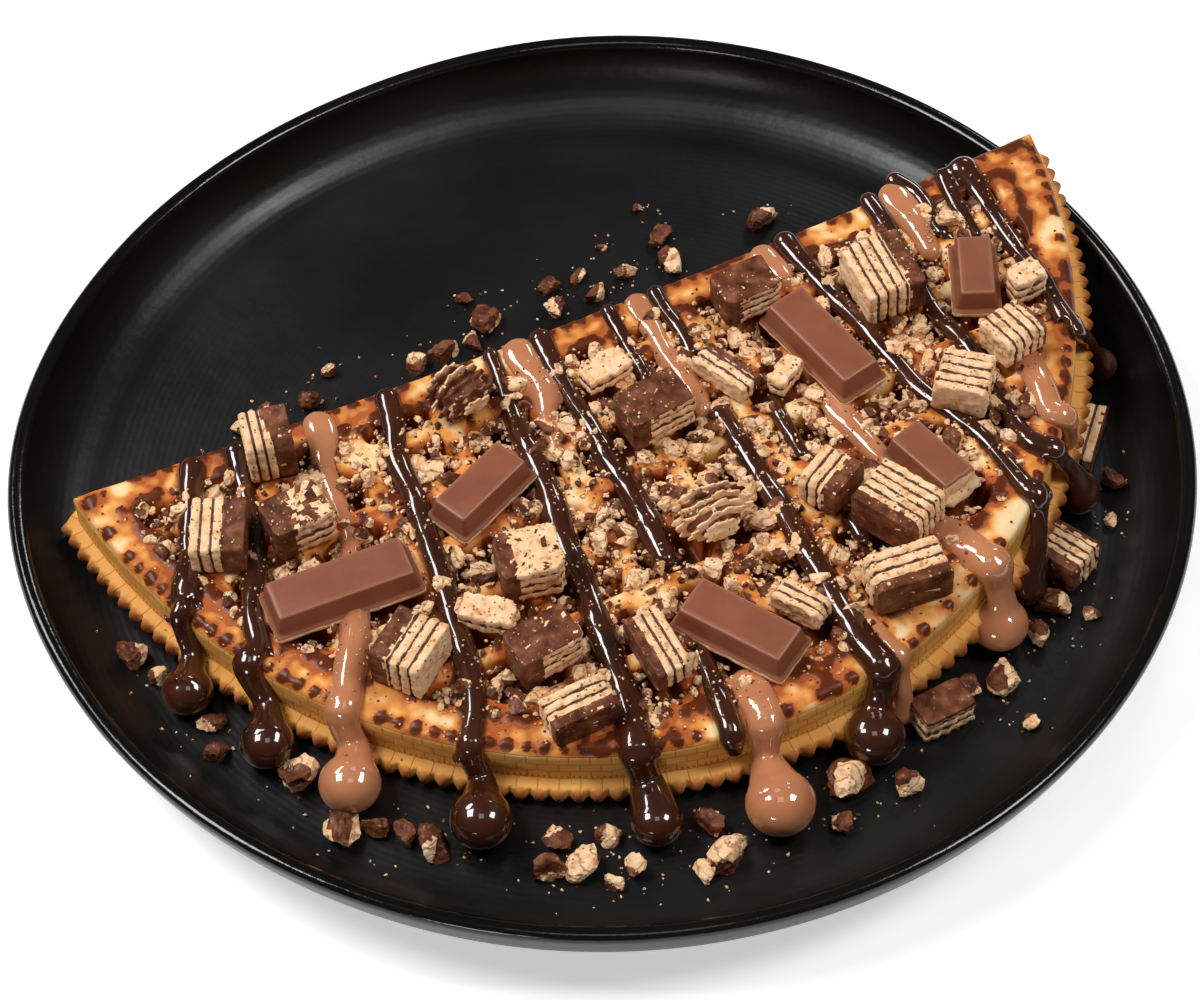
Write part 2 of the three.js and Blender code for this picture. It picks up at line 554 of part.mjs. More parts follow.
function plateSolid() {
  const random = seeded(CRUMB.plateSeed);
  const around = outlinePoints(-CRIMP.reach - GAP, WAFFLE.points);
  const keepOut = solid(prism(around, -1, WAFFLE.thick).applyMatrix4(served.matrixWorld));
  const beads = STREAMS.filter(({ drop }) => drop).map(({ drop: [x, y, radius] }) => (
    solid(new THREE.IcosahedronGeometry(radius + 1, 1).translate(x, y, PLATE.floor + radius))));
  const chunks = PLATE_CHUNKS.map((chunk) => solid(onPlate(chunkGeometry(chunk, CHUNK.clear), chunk)));
  const crumbs = PLATE_CRUMBS.map(([x, y, radius]) => (
    solid(crumb(radius, random).translate(x, y, insideAt(Math.hypot(x, y)) + radius * CRUMB.lift))));
  const loose = join(crumbs).subtract(keepOut).subtract(join(beads)).subtract(join(chunks));
  return largest(solid(plateGeometry()).add(loose));
}

const part = new THREE.Group();
part.add(served);

function add(group, name, geometry, material) {
  const mesh = new THREE.Mesh(geometry, material);
  mesh.name = name;
  group.add(mesh);
  return mesh;
}

add(part, 'plate', geometryOf(plateSolid()), finish(COLOURS.plate, 0.32));
add(served, 'waffle', geometryOf(waffleSolid()), finish(COLOURS.waffle, 0.6));
for (const bar of BARS) {
  const mesh = add(served, bar.name, barGeometry(bar), finish(COLOURS.bar, 0.4));
  mesh.position.set(bar.at[0], bar.at[1], REST);
  mesh.rotation.z = rad(bar.turn);
}
for (const chunk of CHUNKS) {
  const mesh = add(served, chunk.name, chunkGeometry(chunk), finish(COLOURS.chunk, 0.7));
  mesh.position.set(chunk.at[0], chunk.at[1], REST);
  mesh.rotation.z = rad(chunk.turn);
}
for (const chunk of PLATE_CHUNKS) {
  const mesh = add(part, chunk.name, chunkGeometry(chunk), finish(COLOURS.chunk, 0.7));
  mesh.position.set(chunk.at[0], chunk.at[1], plateRest(chunk.at));
  mesh.rotation.z = rad(chunk.turn);
}

export default part;
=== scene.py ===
"""Looks of a half-moon dessert waffle on its black stoneware plate.

Lengths are millimetres, in the waffle's frame (u along its straight side, v towards its back,
w up) or in the plate's frame (x, y, z). Meshes are written in metres in the plate's frame.
"""

import math
import random

import bpy
import numpy as np
from mathutils import Matrix, Vector, geometry, noise


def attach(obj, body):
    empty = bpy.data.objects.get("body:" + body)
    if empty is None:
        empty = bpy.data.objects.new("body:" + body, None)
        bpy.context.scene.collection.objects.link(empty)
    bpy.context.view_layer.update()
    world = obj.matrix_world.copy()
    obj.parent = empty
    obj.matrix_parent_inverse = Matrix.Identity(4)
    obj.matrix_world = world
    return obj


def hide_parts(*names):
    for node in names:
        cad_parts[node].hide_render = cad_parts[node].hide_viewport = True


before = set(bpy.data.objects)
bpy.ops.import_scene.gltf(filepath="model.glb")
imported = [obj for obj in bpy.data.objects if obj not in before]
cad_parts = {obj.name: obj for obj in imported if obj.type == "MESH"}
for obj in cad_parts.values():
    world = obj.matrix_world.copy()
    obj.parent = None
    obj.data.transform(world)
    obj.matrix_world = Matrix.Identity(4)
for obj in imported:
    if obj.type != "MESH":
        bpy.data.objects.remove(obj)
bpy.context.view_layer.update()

MM = 0.001
MADE = []

# ---- the plate, the waffle and the way it lies, as in the solid model ----------------------
# The plate's underside and rim are [distance from the middle, height].
FLOOR, WALL_FOOT, RIM_INNER, PLATE_HEIGHT = 6.0, 115.0, 130.5, 22.3
RIM_DRIFT = [0, 0.2, 1.2, 1.4, -1.4, -0.2, 2.2, 0, -1.4, -1.2, -0.9, -0.4]
PLATE_UNDER = [(76, 1), (78.2, 0.9), (79, 0.25), (79.8, 0), (85.2, 0), (86, 0.3), (89, 1.6),
               (101, 2.0), (113, 2.7), (118, 3.4), (122.5, 5.1), (126, 7.0), (129, 9.5),
               (131.2, 12.4), (133, 16.2), (134.1, 19.3), (134.4, 20.6), (134.2, 21.5),
               (133.6, 22.1), (132.8, 22.3), (131.9, 22.2), (131.1, 21.8)]
HALF_LENGTH, DEPTH, MIDDLE, TIP, BOW, THICK = 124.0, 146.0, 24.0, 1.3, 3.8, 13.0
POCKET_PITCH, POCKET_START, POCKET_COUNT = (21.0, 15.4), (-132.5, -10.1), (14, 8)
POCKET_HALF, POCKET_DEEP, BORDER = (8.0, 5.2), 7.0, 9.5
CRIMP_REACH, CRIMP_VALLEY, CRIMP_PITCH = 4.8, 3.0, 4.15
POSE = Matrix.Translation((-7.3, 35.7, 16.4))
for lean, about in ((22.5, "Z"), (3.4, "X"), (-2.95, "Y")):
    POSE = POSE @ Matrix.Rotation(math.radians(lean), 4, about)
FROM_PLATE = POSE.inverted()

# Runs of sauce: [u, v, width], then the bead on the plate [x, y, radius] or a hanging end.
DARK_RUNS = [
    ([(-94, -1, 6), (-97, -8, 5.5), (-100, -16, 5), (-104, -25, 4.5), (-107, -33, 6.5),
      (-109.5, -38.5, 5.5)], (-94, -58, 5.8)),
    ([(-84, -1, 5), (-86, -12, 5), (-88.5, -26, 5), (-92.5, -37, 6), (-96.5, -46, 5),
      (-98.5, -55, 5.5)], (-76, -73, 6.1)),
    ([(-47.5, -2, 5.5), (-49, -12, 6), (-52, -22, 5.5), (-53, -35, 5.5), (-54.5, -50, 5.5),
      (-56.5, -62, 5.5), (-58.5, -75, 5.5), (-61, -88, 5.5)], (-29.5, -95.5, 6.9)),
    ([(-21, -2, 3.8), (-22, -12, 4), (-23.5, -22, 4.8), (-24, -34, 5.5), (-24.5, -44, 6),
      (-27, -60, 6), (-27.5, -72, 6), (-29, -82, 5.5), (-31.5, -102, 7)], (8, -97, 5.8)),
    ([(-9, -2, 5.5), (-9.5, -14, 5), (-9, -26, 4.5), (-8.5, -40, 5.5), (-8, -54, 6),
      (-8.5, -66, 6), (-8.8, -76, 5)], None),
    ([(-11.5, -92, 4.5), (-12.5, -104, 5), (-14, -114, 5)], 6),
    ([(8.5, -2, 3.6), (8.5, -14, 3.6), (8.5, -28, 4)], None),
    ([(20.5, -2, 4.2), (20.5, -10, 4.2), (21, -18, 3.4), (21, -25, 2.8)], None),
    ([(18.5, -40, 5.5), (19.5, -50, 5.2), (20, -60, 5.5), (20.5, -72, 5.6), (21, -90, 6.4),
      (20.5, -100, 6), (20.5, -111, 7)], (56, -77.5, 6.8)),
    ([(31.5, -42, 3.6), (31, -50, 4), (31, -63, 3.2)], None),
    ([(33, -79, 3.6), (33.5, -89, 3.6)], None),
    ([(54, -1, 6), (55, -10, 5), (57.5, -22, 4.5), (59.5, -34, 5), (61.5, -45, 5), (63, -55, 5),
      (66, -65, 4), (69.2, -74, 4), (70.8, -84, 4.6), (71.5, -91, 5)], (93.5, -36.5, 4.8)),
    ([(77.5, 1, 4.5), (78, -10, 4.2), (77.5, -24, 4), (76.8, -38, 4), (78.6, -50, 4),
      (78.8, -60, 4.5), (78.2, -70, 4.5), (78.4, -80, 4.8)], (107.5, -10.5, 5.6)),
    ([(84.5, 3.5, 5), (88.5, -4, 4.2), (89, -12, 4), (88.5, -20, 3.6)], None),
    ([(101, 0.5, 9), (102, -6, 6), (102.6, -14, 5), (102.6, -26, 4.8), (102.6, -38, 4.8),
      (102.3, -47, 5), (102.1, -55, 5.4)], (117, 28, 4.6)),
    ([(97, 0, 4.5), (96, -8, 4), (95.5, -16, 3.6), (96, -23, 3)], None),
]
MILK_RUNS = [
    ([(-64.5, -1, 5), (-65.2, -9, 5.5), (-67.8, -17, 5), (-69, -28, 4.6), (-70.5, -40, 4.6),
      (-77.5, -60, 6.5), (-81.5, -68, 7), (-85.5, -75, 7)], (-57.7, -85, 6.9)),
    ([(-15, -2, 5.5), (-15, -12, 6), (-14.5, -20, 7), (-17, -27, 4), (-18.5, -36, 3.4)], None),
    ([(15.7, -2, 5), (15.7, -14, 5.3), (15.5, -24, 6), (16, -33, 4.8), (15.8, -42, 4)], None),
    ([(47.2, -2, 5.5), (49, -10, 5), (49.5, -17, 4)], None),
    ([(43, -47, 4), (44, -57, 5.5), (45.5, -66, 5.5), (47, -73, 4)], None),
    ([(84, 1.5, 5.5), (83.7, -8, 6), (84, -16, 6), (83.8, -24, 5)], None),
    ([(-6, -106, 4.5), (-6.5, -113, 6.5)], (34.5, -94.5, 7.7)),
    ([(24, -103, 3), (25, -111, 3.6)], (62.5, -69, 3.4)),
    ([(48.6, -89.6, 5), (51.5, -96, 6.5), (53.5, -101, 7.5)], (86, -48, 6.6)),
    ([(88.6, -53, 4), (88.8, -61.2, 5.5), (87.8, -70.3, 6), (86.8, -75, 6.2)], 11),
]
# How a run goes over the round edge: reach, share of the way to the bead, height, width.
OVER_EDGE = [(-2.4, 0, 1, 1.08), (0, 0.04, 0.97, 1.18), (1.4, 0.22, 0.7, 0.96),
             (3.4, 0.55, 0.38, 0.98)]
BEAD_NECK = 1.8     # the run's width at the bead's middle, in radii of the bead
BEAD_SQUASH, GAP = 0.84, 0.3
SAUCE_VOXEL, SHEET_PITCH, CREAM_THICK = 0.52, 2.45, 0.55
REST = THICK + GAP + 0.1

# Whole bars: [u, v], [length, width], turn. broken says that the far end is torn off.
BARS = [
    ("bar_long_left", (-77, -51.3), (35, 14), -2.5, False),
    ("bar_short_left", (-39, -40.8), (24.5, 12.5), 25, False),
    ("bar_long_right", (47.8, -37.2), (31.5, 13.4), -77.5, False),
    ("bar_short_right", (88.4, -34.8), (20.5, 11.5), 65.9, False),
    ("bar_broken", (54.8, -78.6), (22.5, 12), -73.5, True),
    ("bar_long_front", (-2.6, -99.2), (29, 13.6), -57, False),
]
# Broken chunks: place, size, turn, the axis that the sheets are stacked along, and the sides that
# carry chocolate: the way they face in plan (0 right, 90 back) or "top", and how far from the
# middle the chocolate begins, as a share of the half size.
CHUNKS = [
    ("chunk_back_left", (-78, -10.5), (11, 11, 14), 80, "y", ((0, 0.0),)),
    ("chunk_left", (-96.3, -27), (16, 12.5, 9), 66, "y", ((-24, 0.15),)),
    ("chunk_inner_left", (-79.5, -31.5), (14.5, 11, 10), 4, "z", ((172, 0.15), ("top", 1.0))),
    ("chunk_front_left", (-70, -75), (15, 12.5, 11), 38, "y", ((128, 0.35),)),
    ("chunk_front_mid_left", (-43.5, -86), (15.5, 10.5, 10), 8, "z", ((188, 0.4), ("top", 0.94))),
    ("chunk_front_edge", (-42.5, -103.5), (16, 9, 8), 2, "y", ((-88, 0.4),)),
    ("chunk_upright_strips", (-21.3, -96.8), (17, 8.5, 8), 93, "y", ((183, 0.45),)),
    ("chunk_rough_middle", (-37.6, -65), (14.5, 12.5, 10.5), -10, "z",
     ((170, 0.5), ("top", 1.05))),
    ("slab_middle_left", (-50.3, -71.5), (12.5, 7, 5), -38, "z", ()),
    ("chunk_middle", (4.5, -38.5), (16, 11, 10), 7, "z", ((187, 0.5), ("top", 0.9))),
    ("chunk_back_middle", (37.8, -16.6), (14, 10.5, 9), 3, "z", ((183, 0.5), ("top", 0.92))),
    ("slab_middle_right", (24.2, -35), (16, 6.5, 6), -65, "y", ((25, 0.5),)),
    ("slab_small_right", (36.2, -41.2), (9, 5, 5), 30, "z", ()),
    ("chunk_back_right", (68, -27.5), (17.5, 14.5, 10.5), 88, "y", ((-2, 0.45),)),
    ("chunk_right", (87.3, -55), (11, 11.5, 9), -76, "y", ((14, 0.85),)),
    ("chunk_inner_right", (71.2, -62.5), (12.5, 12, 9.5), -40, "y", ()),
    ("chunk_centre_right", (32, -73.6), (12.5, 10, 9.5), 30, "y", ((-60, 0.35),)),
    ("chunk_big_right", (42, -87), (17, 13.5, 10.5), -62, "y", ((208, 0.6),)),
    ("chunk_front_right", (35.5, -103.8), (18, 10.5, 10), -6, "y", ((-96, 0.5),)),
    ("slab_back_middle", (0, -21.5), (12, 7, 4.5), 10, "z", ()),
    ("slab_front_middle", (12, -99.5), (13, 6, 6.5), -57, "y", ()),
    ("slab_far_right", (97.5, -42), (8.5, 6.5, 7.5), 4, "z", ()),
]
# Heaps of broken flakes: place, size, turn, share of chocolate.
HEAPS = [
    ("crumble_centre", (4.5, -69.5), (17.5, 13, 10), 0, 0.12),
    ("curl_back_left", (-33, -14.5), (14.5, 13, 10.5), 20, 0.5),
]
# Chunks on the plate: [x, y], size, turn in the plate's frame.
PLATE_CHUNKS = [
    ("slab_on_plate", (112.2, 6), (19, 5.5, 7), 71, "y", ((-19, 0.8),)),
    ("chunk_on_plate_right", (102.6, -28.5), (13, 11, 8.5), -41, "y", ((229, 0.5), (49, 0.8))),
    ("chunk_on_plate_front", (71.4, -69.5), (13, 8.5, 7), 28, "z", (("top", 0.75),)),
]
CHUNK_REACH = 6.5

# Crumbs on the plate: [x, y, radius].
PLATE_CRUMBS = [
    (-65, 38, 2.0), (-44, 39, 3.0), (-38, 43, 3.4), (-31, 46, 2.8), (-27, 53, 4.2), (-33, 60, 2.0),
    (-11, 56, 3.2), (-12, 64, 3.0), (-5, 66, 1.9), (-1, 60, 3.0), (6, 67, 2.7), (18, 71, 3.2),
    (15, 78, 3.0), (41, 83, 3.5), (-69, 29, 2.6), (-86, 22, 2.2), (-80, 27, 1.9), (-107, -45, 4.4),
    (-101, -50, 2.9), (-89, -64, 2.6), (-87, -72, 2.9), (-69, -80, 4.6), (-59, -94, 4.4),
    (-53, -93, 3.2), (-46, -96, 3.4), (-40, -99, 4.5), (-14, -98, 3.2), (-16, -106, 3.8),
    (-8, -105, 4.4), (-2, -109, 2.0), (3, -106, 2.6), (-2, -98, 3.0), (20, -96, 3.4),
    (18, -107, 2.8), (23.5, -103, 4.4), (48, -96, 3.0), (50, -87, 4.6), (78, -61, 3.2),
    (86, -60, 4.2), (95, -48, 3.2), (99, -40, 4.4), (91, -71, 2.0), (115, -16, 2.2),
    (117, -5, 3.0), (107, -43, 2.0), (62, -88, 3.4), (10, 89, 1.3), (1, 76, 1.2),
]


# ---- small helpers --------------------------------------------------------------------------
def tone(code):
    """An sRGB hex colour as the linear colour that a shader takes."""
    parts = [int(code[i:i + 2], 16) / 255 for i in (1, 3, 5)]
    return [*(p / 12.92 if p <= 0.04045 else ((p + 0.055) / 1.055) ** 2.4 for p in parts), 1.0]


def add(tree, kind, sockets=None, stops=None, **settings):
    """Adds a node with its settings. Its sockets come by name, or as a list in their order; each
    takes a value, a node or a node's output."""
    made = tree.nodes.new("ShaderNode" + kind)
    for name, value in settings.items():
        setattr(made, name, value)
    named = sockets if isinstance(sockets, dict) else dict(enumerate(sockets or []))
    for key, value in named.items():
        if isinstance(value, bpy.types.Node):
            value = value.outputs[0]
        if isinstance(value, bpy.types.NodeSocket):
            tree.links.new(value, made.inputs[key])
        else:
            made.inputs[key].default_value = value
    if stops:
        marks = made.color_ramp.elements
        marks[0].position, marks[1].position = stops[0][0], stops[-1][0]
        for place, _ in stops[1:-1]:
            marks.new(place)
        for mark, (_, code) in zip(marks, stops):
            mark.color = tone(code)
    return made


def new_finish(name):
    """An empty material: (material, tree, the output that gives each point's place)."""
    material = bpy.data.materials.new(name)
    material.use_nodes = True
    tree = material.node_tree
    tree.nodes.clear()
    return material, tree, add(tree, "TexCoord").outputs["Object"]


def shade(tree, sockets):
    """The shader with its sockets, and the material's output."""
    add(tree, "OutputMaterial", {"Surface": add(tree, "BsdfPrincipled", sockets)})


def clouded(tree, place, scale, detail, stops):
    """Soft patches of a few colours: (the patches, their colour)."""
    cloud = add(tree, "TexNoise", {"Vector": place, "Scale": scale, "Detail": detail})
    return cloud, add(tree, "ValToRGB", {"Fac": cloud}, stops)


def dotted(tree, place, scale, near, far, most, under, code, stray=1.0):
    """A colour in small round dots over another: one dot for each cell of 1000 / scale mm."""
    cells = add(tree, "TexVoronoi", {"Vector": place, "Scale": scale, "Randomness": stray})
    dot = add(tree, "MapRange", [cells.outputs["Distance"], near, far, most, 0.0])
    return add(tree, "Mix", {0: dot, 6: under, 7: tone(code)}, data_type="RGBA").outputs["Result"]


def blend(low, high, value):
    """Smooth step from 0 at low to 1 at high."""
    t = np.clip((value - low) / (high - low), 0, 1)
    return t * t * (3 - 2 * t)


def wander(points, size, seed):
    """Smooth noise at points, with features of about that size in mm."""
    shift = Vector((seed * 7.31, seed * 3.17, seed * 5.73))
    return np.array([noise.noise(Vector(p) / size + shift) for p in points])


def in_plane(u, v):
    """Points of the waffle's plane, as noise takes them."""
    return np.stack([u, v, 0 * u], 1)


def unit(ways):
    """Ways as rows, each made 1 long."""
    return ways / np.linalg.norm(ways, axis=1)[:, None]


def moved(points, matrix):
    """Points through a matrix."""
    grid = np.asarray(points, float)
    turn = np.array(matrix)
    return grid @ turn[:3, :3].T + turn[:3, 3]


def piece(name, points, faces, finishes, stands_for, kinds=None, marks=None, smooth=True):
    """A mesh object from points in the plate's frame, riding on the part's one body."""
    MADE.append(name)
    mesh = bpy.data.meshes.new(name)
    mesh.from_pydata((np.asarray(points) * MM).tolist(), [], faces)
    for finish in finishes:
        mesh.materials.append(finish)
    if kinds is not None:
        mesh.polygons.foreach_set("material_index", np.asarray(kinds, dtype=np.int32))
    mesh.polygons.foreach_set("use_smooth", np.full(len(mesh.polygons), smooth))
    for label, values in (marks or {}).items():
        values = np.asarray(values, dtype=np.float32)
        vector = values.ndim == 2
        layer = mesh.attributes.new(label, "FLOAT_VECTOR" if vector else "FLOAT", "POINT")
        layer.data.foreach_set("vector" if vector else "value", values.ravel())
    mesh.update()
    made = bpy.data.objects.new(name, mesh)
    bpy.context.scene.collection.objects.link(made)
    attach(made, "root")
    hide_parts(stands_for)
    return made


def ring_faces(rings, count):
    """Quads between neighbouring rings of equal count."""
    faces = []
    for r in range(rings - 1):
        for k in range(count):
            a, b = r * count + k, r * count + (k + 1) % count
            faces.append((a, b, b + count, a + count))
    return faces


def closed_faces(rings, count):
    """The same, with a face over the first and the last ring."""
    last = (rings - 1) * count
    return ring_faces(rings, count) + [tuple(range(count))[::-1],
                                       tuple(range(last, last + count))]


# ---- finishes ---------------------------------------------------------------------------------
def black_stoneware():
    """Hand-thrown stoneware under a satin black glaze: fine turning rings, a slightly dimpled
    wall and a soft, broad sheen."""
    material, tree, place = new_finish("black_stoneware_satin_glaze")
    rings, broad = (
        add(tree, "TexWave", {"Vector": place, "Scale": scale, "Distortion": stray, "Detail": 2,
                              "Detail Scale": fine}, wave_type="RINGS", rings_direction="Z")
        for scale, stray, fine in ((190, 1.4, 0.6), (42, 2.2, 0.5)))
    dimples = add(tree, "TexNoise", {"Vector": place, "Scale": 260, "Detail": 3})
    worn, colour = clouded(tree, place, 22, 5, [(0.3, "#0A0909"), (0.7, "#110F0E")])
    rough = add(tree, "MapRange", [worn, 0.3, 0.7, 0.3, 0.42])
    lip = add(tree, "Attribute", attribute_name="lip")
    sleek = add(tree, "MapRange", {"Value": lip.outputs["Fac"], "To Min": 1.0, "To Max": 0.4})
    glossy = add(tree, "Math", [rough, sleek], operation="MULTIPLY")
    both = add(tree, "Math", [rings.outputs["Fac"], broad.outputs["Fac"]], operation="ADD")
    bump = add(tree, "Bump", {"Height": both, "Strength": 0.07, "Distance": 0.0002})
    skin = add(tree, "Bump", {"Height": dimples, "Strength": 0.35, "Distance": 0.0003,
                              "Normal": bump})
    shade(tree, {"Base Color": colour, "Roughness": glossy, "Normal": skin, "IOR": 1.45})
    return material


def baked_batter():
    """Baked waffle batter: cream where it stayed pale, golden round the browned bumps, dark and a
    little shiny on them, with pinholes and a moulded brick pattern on its side."""
    material, tree, place = new_finish("baked_waffle_batter")
    toast, halo, side, rim, wall = (add(tree, "Attribute", attribute_name=name)
                                    for name in ("toast", "halo", "side", "crimp", "wall"))
    toast, halo, side, rim = (mark.outputs["Fac"] for mark in (toast, halo, side, rim))
    grain = add(tree, "TexNoise", {"Vector": place, "Scale": 900, "Detail": 3})
    cloud, side_cloud = clouded(tree, place, 170, 4, [(0.3, "#FFF0D2"), (0.7, "#F6D8A4")])
    # Halo and toast are roughened so that browning has no round edge.
    stray = add(tree, "MapRange", [cloud, 0.3, 0.7, -0.22, 0.22])
    gold = add(tree, "Math", [halo, stray], operation="ADD")
    base = add(tree, "ValToRGB", {"Fac": gold},
               [(0.05, "#F9D8A4"), (0.2, "#F5C688"), (0.4, "#EA9B4A"), (0.8, "#B05822")])
    # Toast also carries the darker pocket floors, which are partly painted shade in the recesses.
    browned = add(tree, "Math", [toast, stray], operation="ADD")
    dark = add(tree, "ValToRGB", {"Fac": browned},
               [(0.3, "#C0662A"), (0.6, "#8E4116"), (0.95, "#5E270D")])
    dark_share = add(tree, "MapRange", [browned, 0.2, 0.62])
    top = add(tree, "Mix", {0: dark_share, 6: base, 7: dark}, data_type="RGBA")
    # Pinholes: dark specks about 0.4 mm wide, every 3 mm or so.
    pinned = dotted(tree, place, 330, 0.09, 0.15, 1.0, top.outputs["Result"], "#5A2A12")
    # The moulded side: three courses of bricks with thin browner joints, in mm along the wall.
    bricks = add(tree, "TexBrick", {"Vector": wall.outputs["Vector"], "Scale": 1.0,
                                    "Mortar Size": 0.2, "Mortar Smooth": 0.8, "Bias": 0.0,
                                    "Brick Width": 4.6, "Row Height": 2.65,
                                    "Color1": tone("#F9C474"), "Color2": tone("#F3B966"),
                                    "Mortar": tone("#DE9440")}, offset=0.5)
    coursed = add(tree, "Mix", {0: 0.6, 6: bricks.outputs["Color"], 7: side_cloud},
                  data_type="RGBA", blend_type="MULTIPLY")
    # One row of holes 1.3 mm apart at the wall's foot: outside the row the height is held at 0.5,
    # which is too far from every hole.
    parts = add(tree, "SeparateXYZ", [wall.outputs["Vector"]])
    column = add(tree, "Math", [parts, 0.77], operation="MULTIPLY")
    row = add(tree, "MapRange", [parts.outputs[1], -0.2, 1.1, -0.5, 0.5])
    grid = add(tree, "CombineXYZ", [column, row])
    sided = dotted(tree, grid.outputs[0], 1.0, 0.15, 0.34, 0.8, coursed.outputs["Result"],
                   "#B0682A", stray=0.0)
    flank = add(tree, "Mix", {0: side, 6: pinned, 7: sided}, data_type="RGBA")
    lobe = add(tree, "ValToRGB", {"Fac": rim},
               [(0.0, "#DDA057"), (0.4, "#C67F3C"), (1.0, "#9A4E22")])
    lobe_share = add(tree, "MapRange", [rim, 0.02, 0.3])
    whole = add(tree, "Mix", {0: lobe_share, 6: flank.outputs["Result"], 7: lobe},
                data_type="RGBA")
    gloss = add(tree, "MapRange", [browned, 0.3, 0.8, 0.65, 0.32])
    joint = add(tree, "Math", [bricks.outputs["Fac"], side], operation="MULTIPLY")
    carve = add(tree, "Bump", {"Height": joint, "Strength": 0.5, "Distance": 0.0004}, invert=True)
    skin = add(tree, "Bump", {"Height": grain, "Strength": 0.35, "Distance": 0.0002,
                              "Normal": carve})
    shade(tree, {"Base Color": whole.outputs["Result"], "Roughness": gloss, "Normal": skin,
                 "Specular IOR Level": 0.25, "Subsurface Weight": 0.08,
                 "Subsurface Radius": (0.9, 0.45, 0.2), "Subsurface Scale": 0.002})
    return material


def set_sauce(name, codes, speck):
    """Poured chocolate sauce that has just set: smooth and very glossy, in soft patches of two
    browns."""
    material, tree, place = new_finish(name)
    _, colour = clouded(tree, place, 90, 3, [(0.3, codes[0]), (0.7, codes[1])])
    specked = dotted(tree, place, 150, 0.05, 0.1, speck, colour, "#3A1A10")
    soft = add(tree, "TexNoise", {"Vector": place, "Scale": 240, "Detail": 1})
    skin = add(tree, "Bump", {"Height": soft, "Strength": 0.1, "Distance": 0.0004})
    shade(tree, {"Base Color": specked, "Normal": skin, "Roughness": 0.4,
                 "Specular IOR Level": 0.1, "Coat Weight": 1.0, "Coat IOR": 1.7,
                 "Coat Roughness": 0.04})
    return material


def moulded_chocolate():
    """Moulded milk chocolate: even and satin, a touch paler on the ledge at its foot and along its
    top edge, where the paleness is a painted highlight.
    """
    material, tree, place = new_finish("moulded_milk_chocolate")
    _, colour = clouded(tree, place, 120, 4, [(0.3, "#834830"), (0.7, "#90543A")])
    fine = add(tree, "TexNoise", {"Vector": place, "Scale": 1400, "Detail": 2})
    # The paler edge: on the foot ledge the chocolate's own paler colour, along the top edge a
    # painted highlight.
    edge = add(tree, "Attribute", attribute_name="edge")
    pale_ledge_and_highlight = add(tree, "Mix", {0: edge.outputs["Fac"], 6: colour, 7: tone("#A66D52")},
                 data_type="RGBA")
    skin = add(tree, "Bump", {"Height": fine, "Strength": 0.12, "Distance": 0.0002})
    shade(tree, {"Base Color": pale_ledge_and_highlight.outputs["Result"], "Normal": skin, "Roughness": 0.4,
                 "IOR": 1.46})
    return material


def broken_coat():
    """The thin chocolate coat of a broken chunk: darker, dull, dusted with wafer crumbs."""
    material, tree, place = new_finish("broken_chocolate_coat")
    cloud, colour = clouded(tree, place, 300, 5,
                            [(0.3, "#45200F"), (0.5, "#6A3A24"), (0.7, "#8E583D")])
    dust = add(tree, "TexNoise", {"Vector": place, "Scale": 900, "Detail": 2})
    fleck = add(tree, "MapRange", [dust, 0.64, 0.72, 0.0, 0.45])
    dusty = add(tree, "Mix", {0: fleck, 6: colour, 7: tone("#D0A27C")}, data_type="RGBA")
    skin = add(tree, "Bump", {"Height": cloud, "Strength": 0.7, "Distance": 0.0008})
    shade(tree, {"Base Color": dusty.outputs["Result"], "Normal": skin, "Roughness": 0.4,
                 "Specular IOR Level": 0.2})
    return material


def crisp_wafer(name, layered):
    """Baked wafer sheet, broken: pale, dry and porous, with dark specks of chocolate. In crumbs
    the cream between the sheets shows as thin dark lines."""
    material, tree, place = new_finish(name)
    cloud, colour = clouded(tree, place, 480, 4,
                            [(0.25, "#C27C48"), (0.42, "#F2C18E"), (0.65, "#FDD9B0")])
    specked = dotted(tree, place, 600, 0.12, 0.22, 0.9, colour, "#7A4226")
    if layered:
        height = add(tree, "Attribute", attribute_name="layer")
        rough = add(tree, "Math", [cloud, 0.9, height.outputs["Fac"]],
                    operation="MULTIPLY_ADD")
        saw = add(tree, "Math", [rough, 1.0], operation="FRACT")
        line = add(tree, "MapRange", [saw, 0.12, 0.2, 0.55, 0.0])
        lined = add(tree, "Mix", {0: line, 6: specked, 7: tone("#5E3220")}, data_type="RGBA")
        specked = lined.outputs["Result"]
    skin = add(tree, "Bump", {"Height": cloud, "Strength": 0.6, "Distance": 0.0006})
    shade(tree, {"Base Color": specked, "Normal": skin, "Roughness": 0.75,
                 "Specular IOR Level": 0.25})
    return material


def cream_line():
    """The chocolate cream between two wafer sheets: dark, dull and grainy."""
    material, tree, place = new_finish("chocolate_cream_filling")
    cloud, colour = clouded(tree, place, 700, 3, [(0.35, "#421D0F"), (0.7, "#6E3B24")])
    skin = add(tree, "Bump", {"Height": cloud, "Strength": 0.6, "Distance": 0.0005})
    shade(tree, {"Base Color": colour, "Normal": skin, "Roughness": 0.6})
    return material


STONEWARE = black_stoneware()
BATTER = baked_batter()
DARK_SAUCE = set_sauce("set_dark_chocolate_sauce", ("#2E1204", "#481E09"), 0.0)
MILK_SAUCE = set_sauce("set_milk_chocolate_sauce", ("#BB764E", "#C8845C"), 0.8)
CHOCOLATE = moulded_chocolate()
COAT = broken_coat()
WAFER = crisp_wafer("crisp_wafer_sheet", False)
CRUMBLED = crisp_wafer("crumbled_wafer_layers", True)
CREAM = cream_line()


# ---- the plate --------------------------------------------------------------------------------
def inside_at(reach):
    """The height of the plate's inside at a distance from its middle."""
    part = min(max((reach - WALL_FOOT) / (RIM_INNER - WALL_FOOT), 0), 1)
    return FLOOR + (PLATE_HEIGHT - 1 - FLOOR) * (1 - math.sqrt(1 - part * part))


